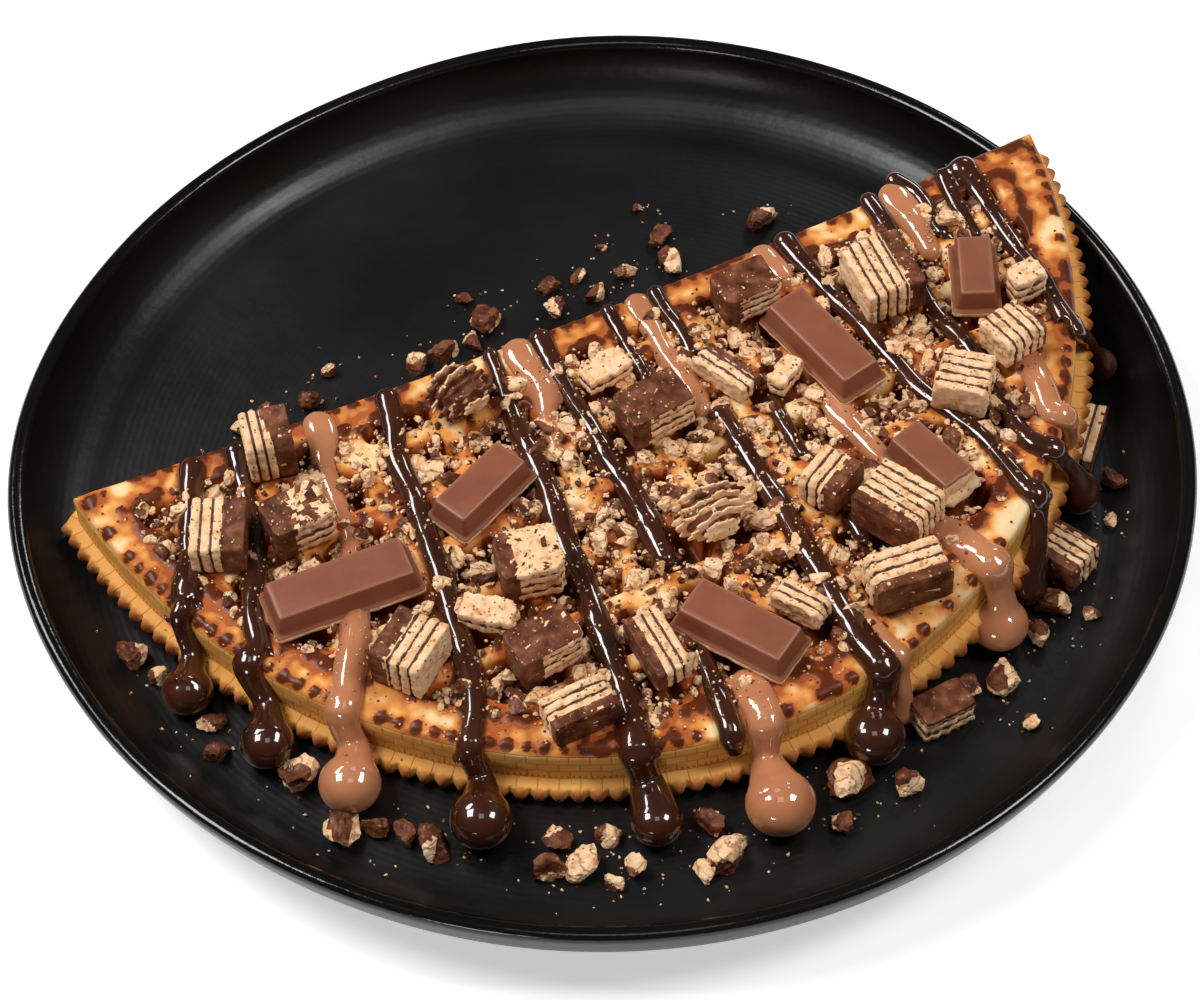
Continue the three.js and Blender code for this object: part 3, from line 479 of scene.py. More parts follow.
def rim_drift(angle):
    """How far the hand-thrown rim strays outwards: a smooth closed curve through the list."""
    count = len(RIM_DRIFT)
    turn = (angle / (2 * math.pi)) % 1 * count
    slot = int(turn)
    t = turn - slot
    a, b, c, d = (RIM_DRIFT[(slot + k) % count] for k in (-1, 0, 1, 2))
    bend = (2 * a - 5 * b + 4 * c - d) * t ** 2 + (3 * b - a - 3 * c + d) * t ** 3
    return 0.5 * (2 * b + (c - a) * t + bend)


def make_plate():
    """The plate: its profile turned round, with the rim's own drift."""
    around = 240
    wall = [WALL_FOOT + (RIM_INNER - WALL_FOOT) * math.sin(a)
            for a in np.linspace(math.pi / 2, 0, 18)]
    floor = [112, 108, 103, 97, 90, 80, 68, 54, 38, 20, 4]
    profile = PLATE_UNDER + [(r, inside_at(r)) for r in wall] + [(r, FLOOR) for r in floor]
    points, lip = [], []
    for r, z in profile:
        share = float(blend(100, 134.4, r))
        lip += [float(blend(19.5, 21.5, z))] * around
        for k in range(around):
            a = 2 * math.pi * k / around
            reach = r + share * rim_drift(a)
            points.append((reach * math.cos(a), reach * math.sin(a), z))
    piece("plate_glazed", points, closed_faces(len(profile), around), [STONEWARE],
          "plate", marks={"lip": lip})


# ---- the waffle -------------------------------------------------------------------------------
def half_moon(inset, count):
    """The waffle's outline at an even spacing, clockwise from its left tip."""
    a, b, end = HALF_LENGTH - inset, DEPTH - inset, TIP - inset
    start = math.asin((end - MIDDLE) / b)
    reach = a * math.cos(start)
    t = np.linspace(0, 1, 400)
    chord = np.stack([reach * (2 * t - 1), end - 4 * BOW * t * (1 - t)], 1)
    turn = np.linspace(start, -math.pi - start, 900)
    arc = np.stack([a * np.cos(turn), MIDDLE + b * np.sin(turn)], 1)
    line = np.concatenate([chord, arc[1:]])
    steps = np.concatenate([[0], np.cumsum(np.hypot(*np.diff(line, axis=0).T))])
    even = np.linspace(0, steps[-1], count, endpoint=False)
    spots = np.stack([np.interp(even, steps, line[:, 0]), np.interp(even, steps, line[:, 1])], 1)
    for _ in range(2):
        spots = (np.roll(spots, 1, 0) + np.roll(spots, -1, 0) + 2 * spots) / 4
    return spots, steps[-1]


def edge_distance(u, v):
    """Roughly how far a point lies inside the waffle's outline."""
    k = np.hypot(u / HALF_LENGTH, (v - MIDDLE) / DEPTH)
    slope = np.hypot(u / HALF_LENGTH ** 2, (v - MIDDLE) / DEPTH ** 2) / np.maximum(k, 1e-6)
    round_side = (1 - k) / slope
    chord = TIP - BOW * (1 - (u / HALF_LENGTH) ** 2) - v
    return np.minimum(round_side, chord)


def pocket_share(u, v):
    """1 in the bottom of a pocket, 0 on the ridges and the border."""
    i = np.clip(np.round((u - POCKET_START[0]) / POCKET_PITCH[0]), 0, POCKET_COUNT[0] - 1)
    j = np.clip(np.round((POCKET_START[1] - v) / POCKET_PITCH[1]), 0, POCKET_COUNT[1] - 1)
    cu = POCKET_START[0] + i * POCKET_PITCH[0]
    cv = POCKET_START[1] - j * POCKET_PITCH[1]
    used = (np.hypot(cu / HALF_LENGTH, (cv - MIDDLE) / DEPTH) < 0.97) & (cv < -3)
    corner = 2.0
    x = np.abs(u - cu) - POCKET_HALF[0] + corner
    y = np.abs(v - cv) - POCKET_HALF[1] + corner
    reach = np.hypot(np.maximum(x, 0), np.maximum(y, 0)) + np.minimum(np.maximum(x, y), 0) - corner
    return used * blend(0.7, -1.8, reach) * blend(BORDER - 0.6, BORDER + 1.4, edge_distance(u, v))


def browned_spots(rng):
    """Where the batter browned into bumps: [u, v, radius, strength], densest by the ridges."""
    spots = []
    pitch = 3.6
    for row in range(36):
        for column in range(72):
            u = -127 + column * pitch + rng.uniform(-1.7, 1.7)
            v = 3 - row * pitch + rng.uniform(-1.7, 1.7)
            e = edge_distance(u, v)
            if e < 0.8:
                continue
            patch = noise.noise(Vector((u / 13, v / 13, 3.3)))
            likely = 0.06 + 0.7 * patch
            if e > 7:
                likely += 0.3
            if v > -8 and e > 1.5:
                likely += 0.12
            if u > 100:
                likely -= 0.12
            if 54 < u < 78 and v > -14:
                likely += 0.12
            if rng.random() < likely:
                spots.append((u, v, rng.uniform(1.3, 2.1), rng.uniform(0.75, 1.15)))
    edge, _ = half_moon(1.7, 150)
    for k, (u, v) in enumerate(edge):
        if rng.random() < 0.85 + 0.7 * noise.noise(Vector((k / 9, 0.5, 1.5))):
            spots.append((u, v, rng.uniform(1.5, 1.95), rng.uniform(1.0, 1.25)))
    inner, _ = half_moon(8.8, 150)
    for k, (u, v) in enumerate(inner):
        if rng.random() < 0.85 + 0.7 * noise.noise(Vector((k / 8, 3.5, 1.5))):
            spots.append((u, v + rng.uniform(-1, 1), rng.uniform(1.5, 2.4), rng.uniform(0.9, 1.2)))
    return spots


def browning(u, v, spots):
    """How toasted each point is, and how near it lies to a toasted spot."""
    toast, halo = np.zeros(len(u)), np.zeros(len(u))
    bend = wander(in_plane(u, v), 2.4, 3)
    for x, y, radius, strength in spots:
        near = np.nonzero((np.abs(u - x) < 6) & (np.abs(v - y) < 6))[0]
        d = np.hypot(u[near] - x, v[near] - y) / radius * (1 + 0.35 * bend[near])
        toast[near] += strength * np.exp(-(d ** 3))
        halo[near] += 0.6 * strength * np.exp(-((d / 1.7) ** 2))
    return toast, halo


def top_triangles(edge):
    """Flat triangles over the waffle's top, with edge as its outer loop: (points, faces, loop)."""
    pitch = 0.86
    rows = np.arange(4, -123, -pitch * 0.866)
    grid = []
    for n, v in enumerate(rows):
        u = np.arange(-125, 125, pitch) + (n % 2) * pitch / 2
        keep = edge_distance(u, np.full(len(u), v)) > 1.95
        grid.extend((float(x), float(v)) for x in u[keep])
    spots = [Vector(p) for p in edge.tolist()] + [Vector(p) for p in grid]
    made = geometry.delaunay_2d_cdt(spots, [], [list(range(len(edge)))], 1, 1e-4)
    points, faces = made[0], made[2]
    at = {(round(p.x, 3), round(p.y, 3)): n for n, p in enumerate(points)}
    loop = [at[(round(float(x), 3), round(float(y), 3))] for x, y in edge.astype(np.float32)]
    return np.array([(p.x, p.y) for p in points]), [tuple(f) for f in faces], loop


def near_sauce(u, v):
    """1 beside a run of dark sauce, 0 further than about 2 mm from one."""
    share = np.zeros(len(u))
    for path, _ in DARK_RUNS:
        for x, y, width in smooth_line(np.array(path, float), 1.2):
            near = np.nonzero((np.abs(u - x) < 7) & (np.abs(v - y) < 7))[0]
            d = np.hypot(u[near] - x, v[near] - y) - width / 2
            share[near] = np.maximum(share[near], blend(1.8, 0.1, d))
    return share


def make_waffle():
    """The baked waffle: its pocketed top, its stepped side with the crimped foot, and its flat
    underside."""
    rng = random.Random(11)
    count = 1400
    edge, _ = half_moon(1.3, count)
    flat, faces, loop = top_triangles(edge)
    u, v = flat[:, 0], flat[:, 1]
    pocket = pocket_share(u, v)
    e = edge_distance(u, v)
    spots = browned_spots(rng)
    toast, halo = browning(u, v, spots)
    swell = wander(in_plane(u, v), 9, 1)
    rough = wander(in_plane(u, v), 1.6, 2)
    bump = 0.5 * blend(0.25, 0.95, toast)
    toast = blend(0.42, 0.8, toast)
    w = THICK - POCKET_DEEP * pocket + 0.22 * swell + 0.1 * rough + bump * (1 - pocket)
    w -= 0.45 * blend(2.8, 1.2, e)
    slope = 4 * pocket * (1 - pocket)
    smear = near_sauce(u, v)
    field = blend(9, 14, e)
    # In the pockets the top is made more golden and toasted darker: partly browning and melted
    # chocolate, partly painted shade in the recesses.
    halo = np.clip(0.85 * halo + 0.03 + 0.25 * slope + 0.25 * swell + 0.12 * field
                   + 0.5 * pocket + 0.25 * smear, 0, 1)
    toast = np.clip(toast * (1 - 0.5 * pocket) + 0.75 * pocket + 0.45 * smear * (1 + rough), 0, 1)
    top = np.stack([u, v, w], 1)

    outline, length = half_moon(0, count)
    ahead = np.roll(outline, -1, 0) - np.roll(outline, 1, 0)
    ahead /= np.hypot(*ahead.T)[:, None]
    out = np.stack([-ahead[:, 1], ahead[:, 0]], 1)
    along = np.arange(count) * length / count
    lobe = (0.5 - 0.5 * np.cos(2 * math.pi * along / CRIMP_PITCH)) ** 0.7
    reach = CRIMP_VALLEY + (CRIMP_REACH - CRIMP_VALLEY) * lobe
    sides = [(-0.8, 12.45), (-0.4, 12.05), (-0.12, 11.5)]
    sides += [(0.05, h) for h in np.arange(11, 3.9, -0.8)]
    sides += [(0.15, 3.6), (0.5, 3.35)]
    rings, marks = [], []
    for inset, height in sides:
        rings.append(np.column_stack([outline + out * inset, np.full(count, height)]))
        marks.append(np.zeros(count))
    for part, height in ((0.3, 3.1), (0.5, 3.15), (0.7, 3.1), (0.85, 2.8), (0.95, 2.3), (1.0, 1.7),
                         (1.0, 1.1), (0.96, 0.5), (0.88, 0.1), (0.7, -0.1)):
        swell = height + (0.9 * lobe - 0.45) * blend(0.45, 0.9, part) * (height > 1)
        stretch = CRIMP_REACH + (reach - CRIMP_REACH) * blend(0.4, 0.9, part)
        rings.append(np.column_stack([outline + out * (stretch * part)[:, None], swell]))
        marks.append(blend(1.8, 5.2, reach * part) * (0.35 + 0.65 * lobe))
    rings.append(np.column_stack([outline - out * 6, np.full(count, 0.0)]))
    marks.append(np.zeros(count))
    body = np.concatenate(rings)
    body += 0.12 * wander(body, 3.5, 4)[:, None] * np.repeat([[1, 1, 0.4]], len(body), 0)
    start = len(top)
    faces += [(loop[k], loop[(k + 1) % count], start + (k + 1) % count, start + k)
              for k in range(count)]
    faces += [tuple(start + i for i in f) for f in ring_faces(len(rings), count)]
    points = np.concatenate([top, body, [[0, -50, 0.0]]])
    last = start + (len(rings) - 1) * count
    faces += [(last + k, last + (k + 1) % count, len(points) - 1) for k in range(count)]

    levels = np.concatenate([r[:, 2] for r in rings])
    s = np.tile(along, len(rings))
    side = blend(12.1, 10.9, levels)
    burnt, glow = browning(body[:, 0], body[:, 1], spots)
    upper = blend(10.6, 12.0, levels)
    burnt = blend(0.42, 0.8, burnt) * upper
    gold = np.clip(0.12 + 0.3 * wander(body, 8, 6) + 0.75 * glow * upper, 0, 1)
    side = side * (1 - burnt)
    zero = np.zeros(1)
    wall = np.concatenate([np.zeros((start, 3)), in_plane(s, levels - 3.6), [[0, 0, 0]]])
    values = {"toast": np.concatenate([toast, burnt, zero]),
              "halo": np.concatenate([halo, gold, zero]),
              "side": np.concatenate([0 * u, side, zero]),
              "crimp": np.concatenate([0 * u, np.concatenate(marks), zero]), "wall": wall}
    piece("waffle_baked", moved(points, POSE), faces, [BATTER], "waffle",
          marks=values)


# ---- sauces -----------------------------------------------------------------------------------
def to_waffle(x, y, z):
    """A place over the plate, in the waffle's frame."""
    return np.array(FROM_PLATE @ Vector((x, y, z)))


def edge_at(u, v):
    """The point of the round edge nearest in direction, and the direction out of it."""
    k = 1 / math.hypot(u / HALF_LENGTH, (v - MIDDLE) / DEPTH)
    point = np.array([u * k, MIDDLE + (v - MIDDLE) * k])
    out = np.array([point[0] / HALF_LENGTH ** 2, (point[1] - MIDDLE) / DEPTH ** 2])
    return point, out / np.hypot(*out)


def bead_centre(bead):
    """The middle of a bead that rests on the plate, in the waffle's frame."""
    x, y, radius = bead
    return to_waffle(x, y, inside_at(math.hypot(x, y)) + GAP + radius * BEAD_SQUASH)


def run_path(path, end):
    """Control points [u, v, w, width] of a run, over the edge down to its bead or free end."""
    points = []
    for u, v, width in path:
        sag = 1.1 * pocket_share(u, v)
        points.append((u, v, THICK - 0.1 - sag, width))
    if end is None:
        return points
    u, v, width = path[-1]
    edge, out = edge_at(u, v)
    along = np.array([-out[1], out[0]])
    if isinstance(end, tuple):
        bead = bead_centre(end)
        slide = float((bead[:2] - edge) @ along)
        for reach, share, height, wide in OVER_EDGE:
            p = edge + out * reach + along * slide * share
            points.append((*p, THICK * height, width * wide))
        points.append((*bead, end[2] * BEAD_NECK))
    else:
        for reach, height, wide in ((-2, THICK, 1.05), (0.3, THICK - 1.2, 1.1),
                                    (1.1, THICK - 0.6 * end, 0.8), (1.5, THICK - end, 0.95)):
            points.append((*(edge + out * reach), height, width * wide))
    return points


def smooth_line(points, step):
    """A Catmull-Rom line through points of any width, at about that spacing."""
    points = np.array(points, float)
    padded = np.concatenate([[2 * points[0] - points[1]], points, [2 * points[-1] - points[-2]]])
    line = []
    for k in range(1, len(padded) - 2):
        a, b, c, d = padded[k - 1:k + 3]
        steps = max(2, int(np.linalg.norm((c - b)[:3]) / step))
        for t in np.linspace(0, 1, steps, endpoint=False):
            line.append(0.5 * (2 * b + (c - a) * t + (2 * a - 5 * b + 4 * c - d) * t * t
                               + (3 * b - a - 3 * c + d) * t ** 3))
    return np.array(line + [points[-1]])


def run_mesh(line, seed, free_end, slump):
    """A closed domed run of sauce along a line [u, v, w, width], slumped flat where it starts."""
    count = 18
    spots = line[:, :3].copy()
    travel = np.concatenate([[0], np.cumsum(np.linalg.norm(np.diff(spots, axis=0), axis=1))])
    swell = np.array([noise.noise(Vector((t / 11, seed * 3.7, 0))) for t in travel])
    stray = np.array([noise.noise(Vector((t / 12, seed * 3.7, 9))) for t in travel])
    start = slump * blend(16, 5, travel)
    width = line[:, 3] * (1.12 + 0.2 * swell + 0.5 * start)
    tangent = unit(np.gradient(spots, axis=0))
    rings, side = [], np.array([-tangent[0][1], tangent[0][0], 0])
    for k, point in enumerate(spots):
        side = side - tangent[k] * (side @ tangent[k])
        side /= np.linalg.norm(side)
        outer = np.cross(tangent[k], side)
        half = width[k] / 2
        d = min(travel[k], (travel[-1] - travel[k]) if free_end else 1e9)
        close = math.sqrt(max(1 - (1 - min(d / half, 1)) ** 2, 0.02))
        middle = point + side * stray[k] * 0.45
        ring = []
        for n in range(count):
            a = 2 * math.pi * n / count
            rise = 0.86 * (1 - start[k]) if math.sin(a) > 0 else 0.45
            ring.append(middle + close * half * (side * math.cos(a) + outer * rise * math.sin(a)))
        rings.append(ring)
    return np.concatenate(rings), closed_faces(len(rings), count)


def ball(centre, size, levels=2):
    """A ball or egg as points and faces; size is its three half-lengths."""
    points, faces = ICO[levels]
    return points * np.asarray(size) + np.asarray(centre), faces


def icospheres():
    """Unit spheres by level of detail, as (points, faces)."""
    g = (1 + 5 ** 0.5) / 2
    points = [(-1, g, 0), (1, g, 0), (-1, -g, 0), (1, -g, 0), (0, -1, g), (0, 1, g), (0, -1, -g),
              (0, 1, -g), (g, 0, -1), (g, 0, 1), (-g, 0, -1), (-g, 0, 1)]
    points = [np.array(p) / math.hypot(*p) for p in points]
    faces = [(0, 11, 5), (0, 5, 1), (0, 1, 7), (0, 7, 10), (0, 10, 11), (1, 5, 9), (5, 11, 4),
             (11, 10, 2), (10, 7, 6), (7, 1, 8), (3, 9, 4), (3, 4, 2), (3, 2, 6), (3, 6, 8),
             (3, 8, 9), (4, 9, 5), (2, 4, 11), (6, 2, 10), (8, 6, 7), (9, 8, 1)]
    made = [(np.array(points), faces)]
    for _ in range(3):
        points, between, finer = list(points), {}, []

        def half(a, b):
            key = (min(a, b), max(a, b))
            if key not in between:
                middle = points[a] + points[b]
                points.append(middle / np.linalg.norm(middle))
                between[key] = len(points) - 1
            return between[key]
        for a, b, c in faces:
            ab, bc, ca = half(a, b), half(b, c), half(c, a)
            finer += [(a, ab, ca), (b, bc, ab), (c, ca, bc), (ab, bc, ca)]
        faces = finer
        made.append((np.array(points), faces))
    return made


ICO = icospheres()


def joined(parts):
    """Several (points, faces) as one."""
    points, faces, start = [], [], 0
    for some, more in parts:
        points.append(some)
        faces += [tuple(i + start for i in f) for f in more]
        start += len(some)
    return np.concatenate(points), faces


def make_sauce(name, runs, finish, seed, slump):
    """All runs of one sauce with their beads and spatter, melted into one smooth skin."""
    rng = random.Random(seed)
    parts = []
    for n, (path, end) in enumerate(runs):
        line = smooth_line(run_path(path, end), 1.1)
        parts.append(run_mesh(line, seed + n * 1.7, not isinstance(end, tuple), slump))
        if isinstance(end, tuple):
            radius = end[2]
            middle = bead_centre(end)
            parts.append(ball(middle, (radius, radius, radius * BEAD_SQUASH), 3))
        for _ in range(int(len(line) / 9)):
            u, v, w, width = line[rng.randrange(len(line))]
            if w < THICK - 2:
                continue
            away = rng.choice((-1, 1)) * width * rng.uniform(0.4, 0.62)
            size = rng.uniform(0.6, 1.2)
            spot = (u + away, v + rng.uniform(-1, 1), w - 0.2)
            parts.append(ball(spot, (size, size * rng.uniform(1.6, 3.5), size * 0.7), 2))
    points, faces = joined(parts)
    made = piece(name, moved(points, POSE), faces, [finish], "waffle")
    for kind, settings in (("REMESH", {"mode": "VOXEL", "voxel_size": SAUCE_VOXEL * MM}),
                           ("SMOOTH", {"factor": 0.5, "iterations": 8})):
        change = made.modifiers.new(kind.lower(), kind)
        for key, value in settings.items():
            setattr(change, key, value)
    keep_shape(made, finish)


def keep_shape(made, finish):
    """Writes what the modifiers make into the mesh."""
    view = bpy.context.evaluated_depsgraph_get()
    mesh = bpy.data.meshes.new_from_object(made.evaluated_get(view))
    mesh.materials.clear()
    mesh.materials.append(finish)
    mesh.polygons.foreach_set("use_smooth", np.full(len(mesh.polygons), True))
    made.modifiers.clear()
    made.data = mesh


# ---- bars and chunks --------------------------------------------------------------------------
def set_down(at, turn, on_plate=False):
    """The matrix that sets a bar or a chunk down, in the plate's frame."""
    spin = Matrix.Rotation(math.radians(turn), 4, "Z")
    if on_plate:
        rest = inside_at(math.hypot(*at) + CHUNK_REACH) + GAP
        return Matrix.Translation((*at, rest)) @ spin
    return POSE @ Matrix.Translation((*at, REST)) @ spin


def rounded_box(length, width, corner):
    """Points round a rectangle with rounded corners, anticlockwise."""
    per_edge, per_corner = (14, 6), 5
    x, y = length / 2 - corner, width / 2 - corner
    points = []
    for cx, cy, start, straight in ((x, -y, -90, per_edge[1]), (x, y, 0, per_edge[0]),
                                    (-x, y, 90, per_edge[1]), (-x, -y, 180, per_edge[0])):
        for a in np.linspace(start, start + 90, per_corner):
            points.append((cx + corner * math.cos(math.radians(a)),
                           cy + corner * math.sin(math.radians(a))))
        nx, ny = {0: (-x, y), 90: (-x, -y), 180: (x, -y), -90: (x, y)}[start]
        a = math.radians(start + 90)
        ex, ey = nx + corner * math.cos(a), ny + corner * math.sin(a)
        sx, sy = points[-1]
        for t in np.linspace(0, 1, straight + 1, endpoint=False)[1:]:
            points.append((sx + (ex - sx) * t, sy + (ey - sy) * t))
    return np.array(points)


def make_bar(name, at, size, turn, torn):
    """A whole wafer bar: a moulded chocolate block on a paler, ragged wafer foot."""
    length, width = size
    seed = at[0] * 0.37
    # level, inset, corner radius, finish (0 chocolate, 1 wafer), how pale the edge is: on the foot
    # ledge the chocolate's own paler colour, along the top edge a painted highlight
    levels = [(0.0, 0.5, 0.9, 1, 0), (0.15, 0.15, 1.0, 1, 0), (0.7, 0.0, 1.0, 1, 0.2),
              (1.35, 0.1, 1.0, 0, 0.5), (1.75, 0.35, 1.1, 0, 0.6), (1.95, 0.9, 1.1, 0, 0.0),
              (2.2, 1.0, 0.7, 0, 0.0), (4.0, 1.3, 0.7, 0, 0.0), (6.3, 1.75, 0.7, 0, 0.0),
              (6.72, 1.85, 0.7, 0, 0.5), (6.92, 2.05, 0.7, 0, 0.9), (7.0, 2.35, 0.7, 0, 0.3),
              (7.02, 3.2, 0.6, 0, 0)]
    rings, kinds, edge = [], [], []
    for z, inset, corner, kind, pale_ledge_and_highlight in levels:
        ring = rounded_box(length - 2 * inset, width - 2 * inset, corner)
        rings.append(np.column_stack([ring, np.full(len(ring), z)]))
        kinds.append(kind)
        edge.append(np.full(len(ring), float(pale_ledge_and_highlight)))
    count = len(rings[0])
    for share in (0.6, 0.25):
        ring = rings[-1].copy()
        ring[:, :2] *= (share + (1 - share) * 0.35, share)
        rings.append(ring)
        kinds.append(0)
        edge.append(np.zeros(count))
    points = np.concatenate(rings)
    spread = wander(points, 2.2, seed)
    fine = wander(points, 0.9, seed + 3)
    foot = blend(2.0, 1.2, points[:, 2])
    out = points[:, :2] / np.maximum(np.hypot(points[:, 0], points[:, 1]), 1e-6)[:, None]
    points[:, :2] += out * (0.05 * spread + 0.45 * foot * (0.6 * spread + 0.5 * fine))[:, None]
    if torn:
        end = blend(length / 2 - 3.2, length / 2 - 0.4, points[:, 0])
        points[:, 0] -= end * (1.4 + 1.9 * wander(points * (0, 1, 1), 2.0, seed + 8))
        points[:, 2] -= end * np.maximum(points[:, 2] - 4.5, 0) * 0.4
    faces = closed_faces(len(rings), count)
    face_kinds = []
    for f in faces[:-2]:
        z = np.mean([points[i, 2] for i in f])
        kind = kinds[f[0] // count]
        if torn and z < 6.3 and min(points[i, 0] for i in f) > length / 2 - 4.6:
            kind = 2 if (z % 2.1) < CREAM_THICK else 1
        face_kinds.append(kind)
    face_kinds += [1, 0]
    piece(name + "_dressed", moved(points, set_down(at, turn)), faces, [CHOCOLATE, WAFER, CREAM],
          name, kinds=face_kinds, marks={"edge": np.concatenate(edge)})


AXES = {"z": (0, 1, 2), "y": (0, 2, 1)}


def broken_outline(x, y, rng):
    """A rectangle with broken-off corners: (points, outward ways), anticlockwise."""
    step, corners = 0.7, []
    for sx, sy in ((1, -1), (1, 1), (-1, 1), (-1, -1)):
        cut = rng.uniform(0.3, 1.7), rng.uniform(0.3, 1.7)
        pair = [(sx * x, sy * (y - cut[1])), (sx * (x - cut[0]), sy * y)]
        corners += pair if sx * sy > 0 else pair[::-1]
    spots, ways = [], []
    for k, a in enumerate(np.array(corners)):
        b = np.array(corners[(k + 1) % 8])
        long = np.hypot(*(b - a))
        steps = max(1, round(long / step))
        for t in range(steps):
            spots.append(a + (b - a) * t / steps)
            ways.append(((b - a)[1] / long, -(b - a)[0] / long))
    ways = np.array(ways)
    return np.array(spots), unit(ways + np.roll(ways, 1, 0))


def coat_share(points, half, order, coats, turn):
    """How far each point lies in the chocolate, in mm: over 0 is coated."""
    share = np.full(len(points), -9.0)
    for way, start in coats:
        a = 0 if way == "top" else math.radians(way - turn)
        facing = np.array([0, 0, 1] if way == "top" else [math.cos(a), math.sin(a), 0])[order]
        share = np.maximum(share, points @ facing - start * float(np.abs(facing) @ half))
    return share + 0.55 * wander(points, 1.7, 3)


def make_chunk(name, at, size, turn, stack, coats, on_plate=False):
    """A broken chunk: ragged wafer sheets with cream between, and chocolate on some sides."""
    rng = random.Random(name)
    place = set_down(at, turn, on_plate)
    order = list(AXES[stack])
    half = np.array(size)[order] / 2 - 0.15
    spots, ways = broken_outline(half[0], half[1], rng)
    count = len(spots)
    tall, cream = 2 * half[2], CREAM_THICK
    sheets = max(2, round((tall + cream) / SHEET_PITCH))
    thick = (tall - (sheets - 1) * cream) / sheets
    rows, level = [], -half[2]
    for sheet in range(sheets):
        jut = rng.uniform(-0.3, 0.3)
        for share, inset in ((0.02, 0.28), (0.14, 0.05), (0.5, 0.0), (0.86, 0.05), (0.98, 0.28)):
            rows.append((level + thick * share, inset + max(jut, 0), sheet, 1))
        if sheet < sheets - 1:
            rows.append((level + thick + cream * 0.5, 0.6, sheet, 2))
        level += thick + cream
    rings, kinds = [], []
    for height, inset, layer, kind in rows:
        ring = np.column_stack([spots, np.full(count, height)])
        at_layer = np.column_stack([spots, np.full(count, layer * 5.1)])
        ragged = 0.55 * wander(at_layer, 1.3, 1) + 0.4 * wander(ring, 0.55, 2)
        bare = 1 - blend(-0.2, 0.3, coat_share(ring, half, order, coats, turn))
        dents = 0.14 * wander(ring, 1.5, 9) - 0.1
        ring[:, :2] += ways * ((ragged - inset) * bare + dents * (1 - bare) + 0.06)[:, None]
        rings.append(ring)
        kinds.append(kind)
    shares = (0.93, 0.8, 0.64, 0.46, 0.26, 0.1)
    for sign in (-1, 1):
        last = rings[-1] if sign > 0 else rings[0]
        cap = []
        for share in shares:
            ring = last * (share, share, 1)
            rough = 0.15 + 0.35 * (coat_share(ring, half, order, coats, turn) < 0)
            ring[:, 2] += sign * (0.08 + rough * wander(ring, 1.2, sign + 4))
            cap.append(ring)
        rings = rings + cap if sign > 0 else cap[::-1] + rings
    kinds = [1] * len(shares) + kinds + [1] * len(shares)
    points = np.concatenate(rings)
    faces = closed_faces(len(rings), count)
    middles = np.array([points[list(f[:4])].mean(0) for f in faces])
    coated = coat_share(middles, half, order, coats, turn) > 0
    chips = wander(middles, 1.1, 7)
    face_kinds = []
    for f, chocolate, chip in zip(faces, coated, chips):
        ring = f[0] // count
        lines = kinds[ring] == 2 or (len(f) == 4 and kinds[ring + 1] == 2)
        face_kinds.append(0 if chocolate and chip < 0.62 else 2 if lines else 1)
    back = np.empty_like(points)
    back[:, order] = points
    if stack == "y":
        faces = [f[::-1] for f in faces]
    piece(name + "_dressed", moved(back + (0, 0, size[2] / 2), place), faces,
          [COAT, WAFER, CREAM], name, kinds=face_kinds)


def ragged_leaf(half, y, phase):
    """One thin, torn, slightly curled leaf of a heap, upright at y: (points, faces)."""
    count, reach = 40, math.sqrt(max(1 - (y / half[1]) ** 2, 0.05))
    turn = np.linspace(0, 2 * math.pi, count, endpoint=False)
    torn = 0.17 * wander(np.stack([3 * np.cos(turn), 3 * np.sin(turn), 0 * turn], 1), 0.8, phase)
    notch = 0.08 * np.sign(np.sin(turn * 11 + phase))
    x = half[0] * reach * (1 + torn + notch) * np.cos(turn)
    z = half[2] * (0.95 + reach * (1 + torn + notch) * np.sin(turn))
    curl = 0.7 * np.sin(turn + phase) + 0.3 * np.sin(3 * turn + 2 * phase)
    rings = [np.stack([x * share, y + lift + curl * share, half[2] + (z - half[2]) * share], 1)
             for share, lift in ((0.2, -0.35), (0.9, -0.35), (1.0, -0.2),
                                 (1.0, 0.2), (0.9, 0.35), (0.2, 0.35))]
    return np.concatenate(rings), [f[::-1] for f in closed_faces(len(rings), count)]


def make_heap(name, at, size, turn, choc_share):
    """A crushed lump: thin torn leaves of wafer side by side round a dark middle, with flakes."""
    rng = random.Random(name)
    place = set_down(at, turn)
    half = np.array(size) / 2
    parts = [ball((0, 0, half[2] * 0.9), half * (0.84, 0.86, 0.84), 3)]
    kinds = [0] * len(parts[0][1])
    y, flakes = -half[1] + 0.8, 46
    while y < half[1] - 0.6:
        leaf, faces = ragged_leaf(half, y, rng.uniform(0, 9))
        parts.append((leaf, faces))
        kinds += [0 if rng.random() < choc_share else 1] * len(faces)
        y += rng.uniform(1.55, 2.0)
    for _ in range(flakes):
        a, rise = rng.uniform(0, 2 * math.pi), rng.uniform(0.02, 1)
        way = np.array([math.cos(a) * math.sqrt(1 - rise ** 2),
                        math.sin(a) * math.sqrt(1 - rise ** 2), rise])
        spot = way * (half - 0.9) * (1, 1, 1.1) * rng.uniform(0.85, 1) + (0, 0, half[2] * 0.8)
        flake, faces = crumb((0, 0, 0), rng.uniform(0.6, 1.3), rng, 1, 0.85)
        lean = Vector(way + [rng.gauss(0, 0.55) for _ in range(3)])
        thin = np.array(lean.to_track_quat("Z", "Y").to_matrix()) * (1.3, 1, 0.38)
        parts.append((flake @ thin.T + spot, faces))
        kinds += [0 if rng.random() < choc_share else 1] * len(faces)
    points, faces = joined(parts)
    points[:, 2] = np.maximum(points[:, 2], 0.1)
    piece(name + "_dressed", moved(points, place), faces, [COAT, WAFER],
          name, kinds=kinds, smooth=False)


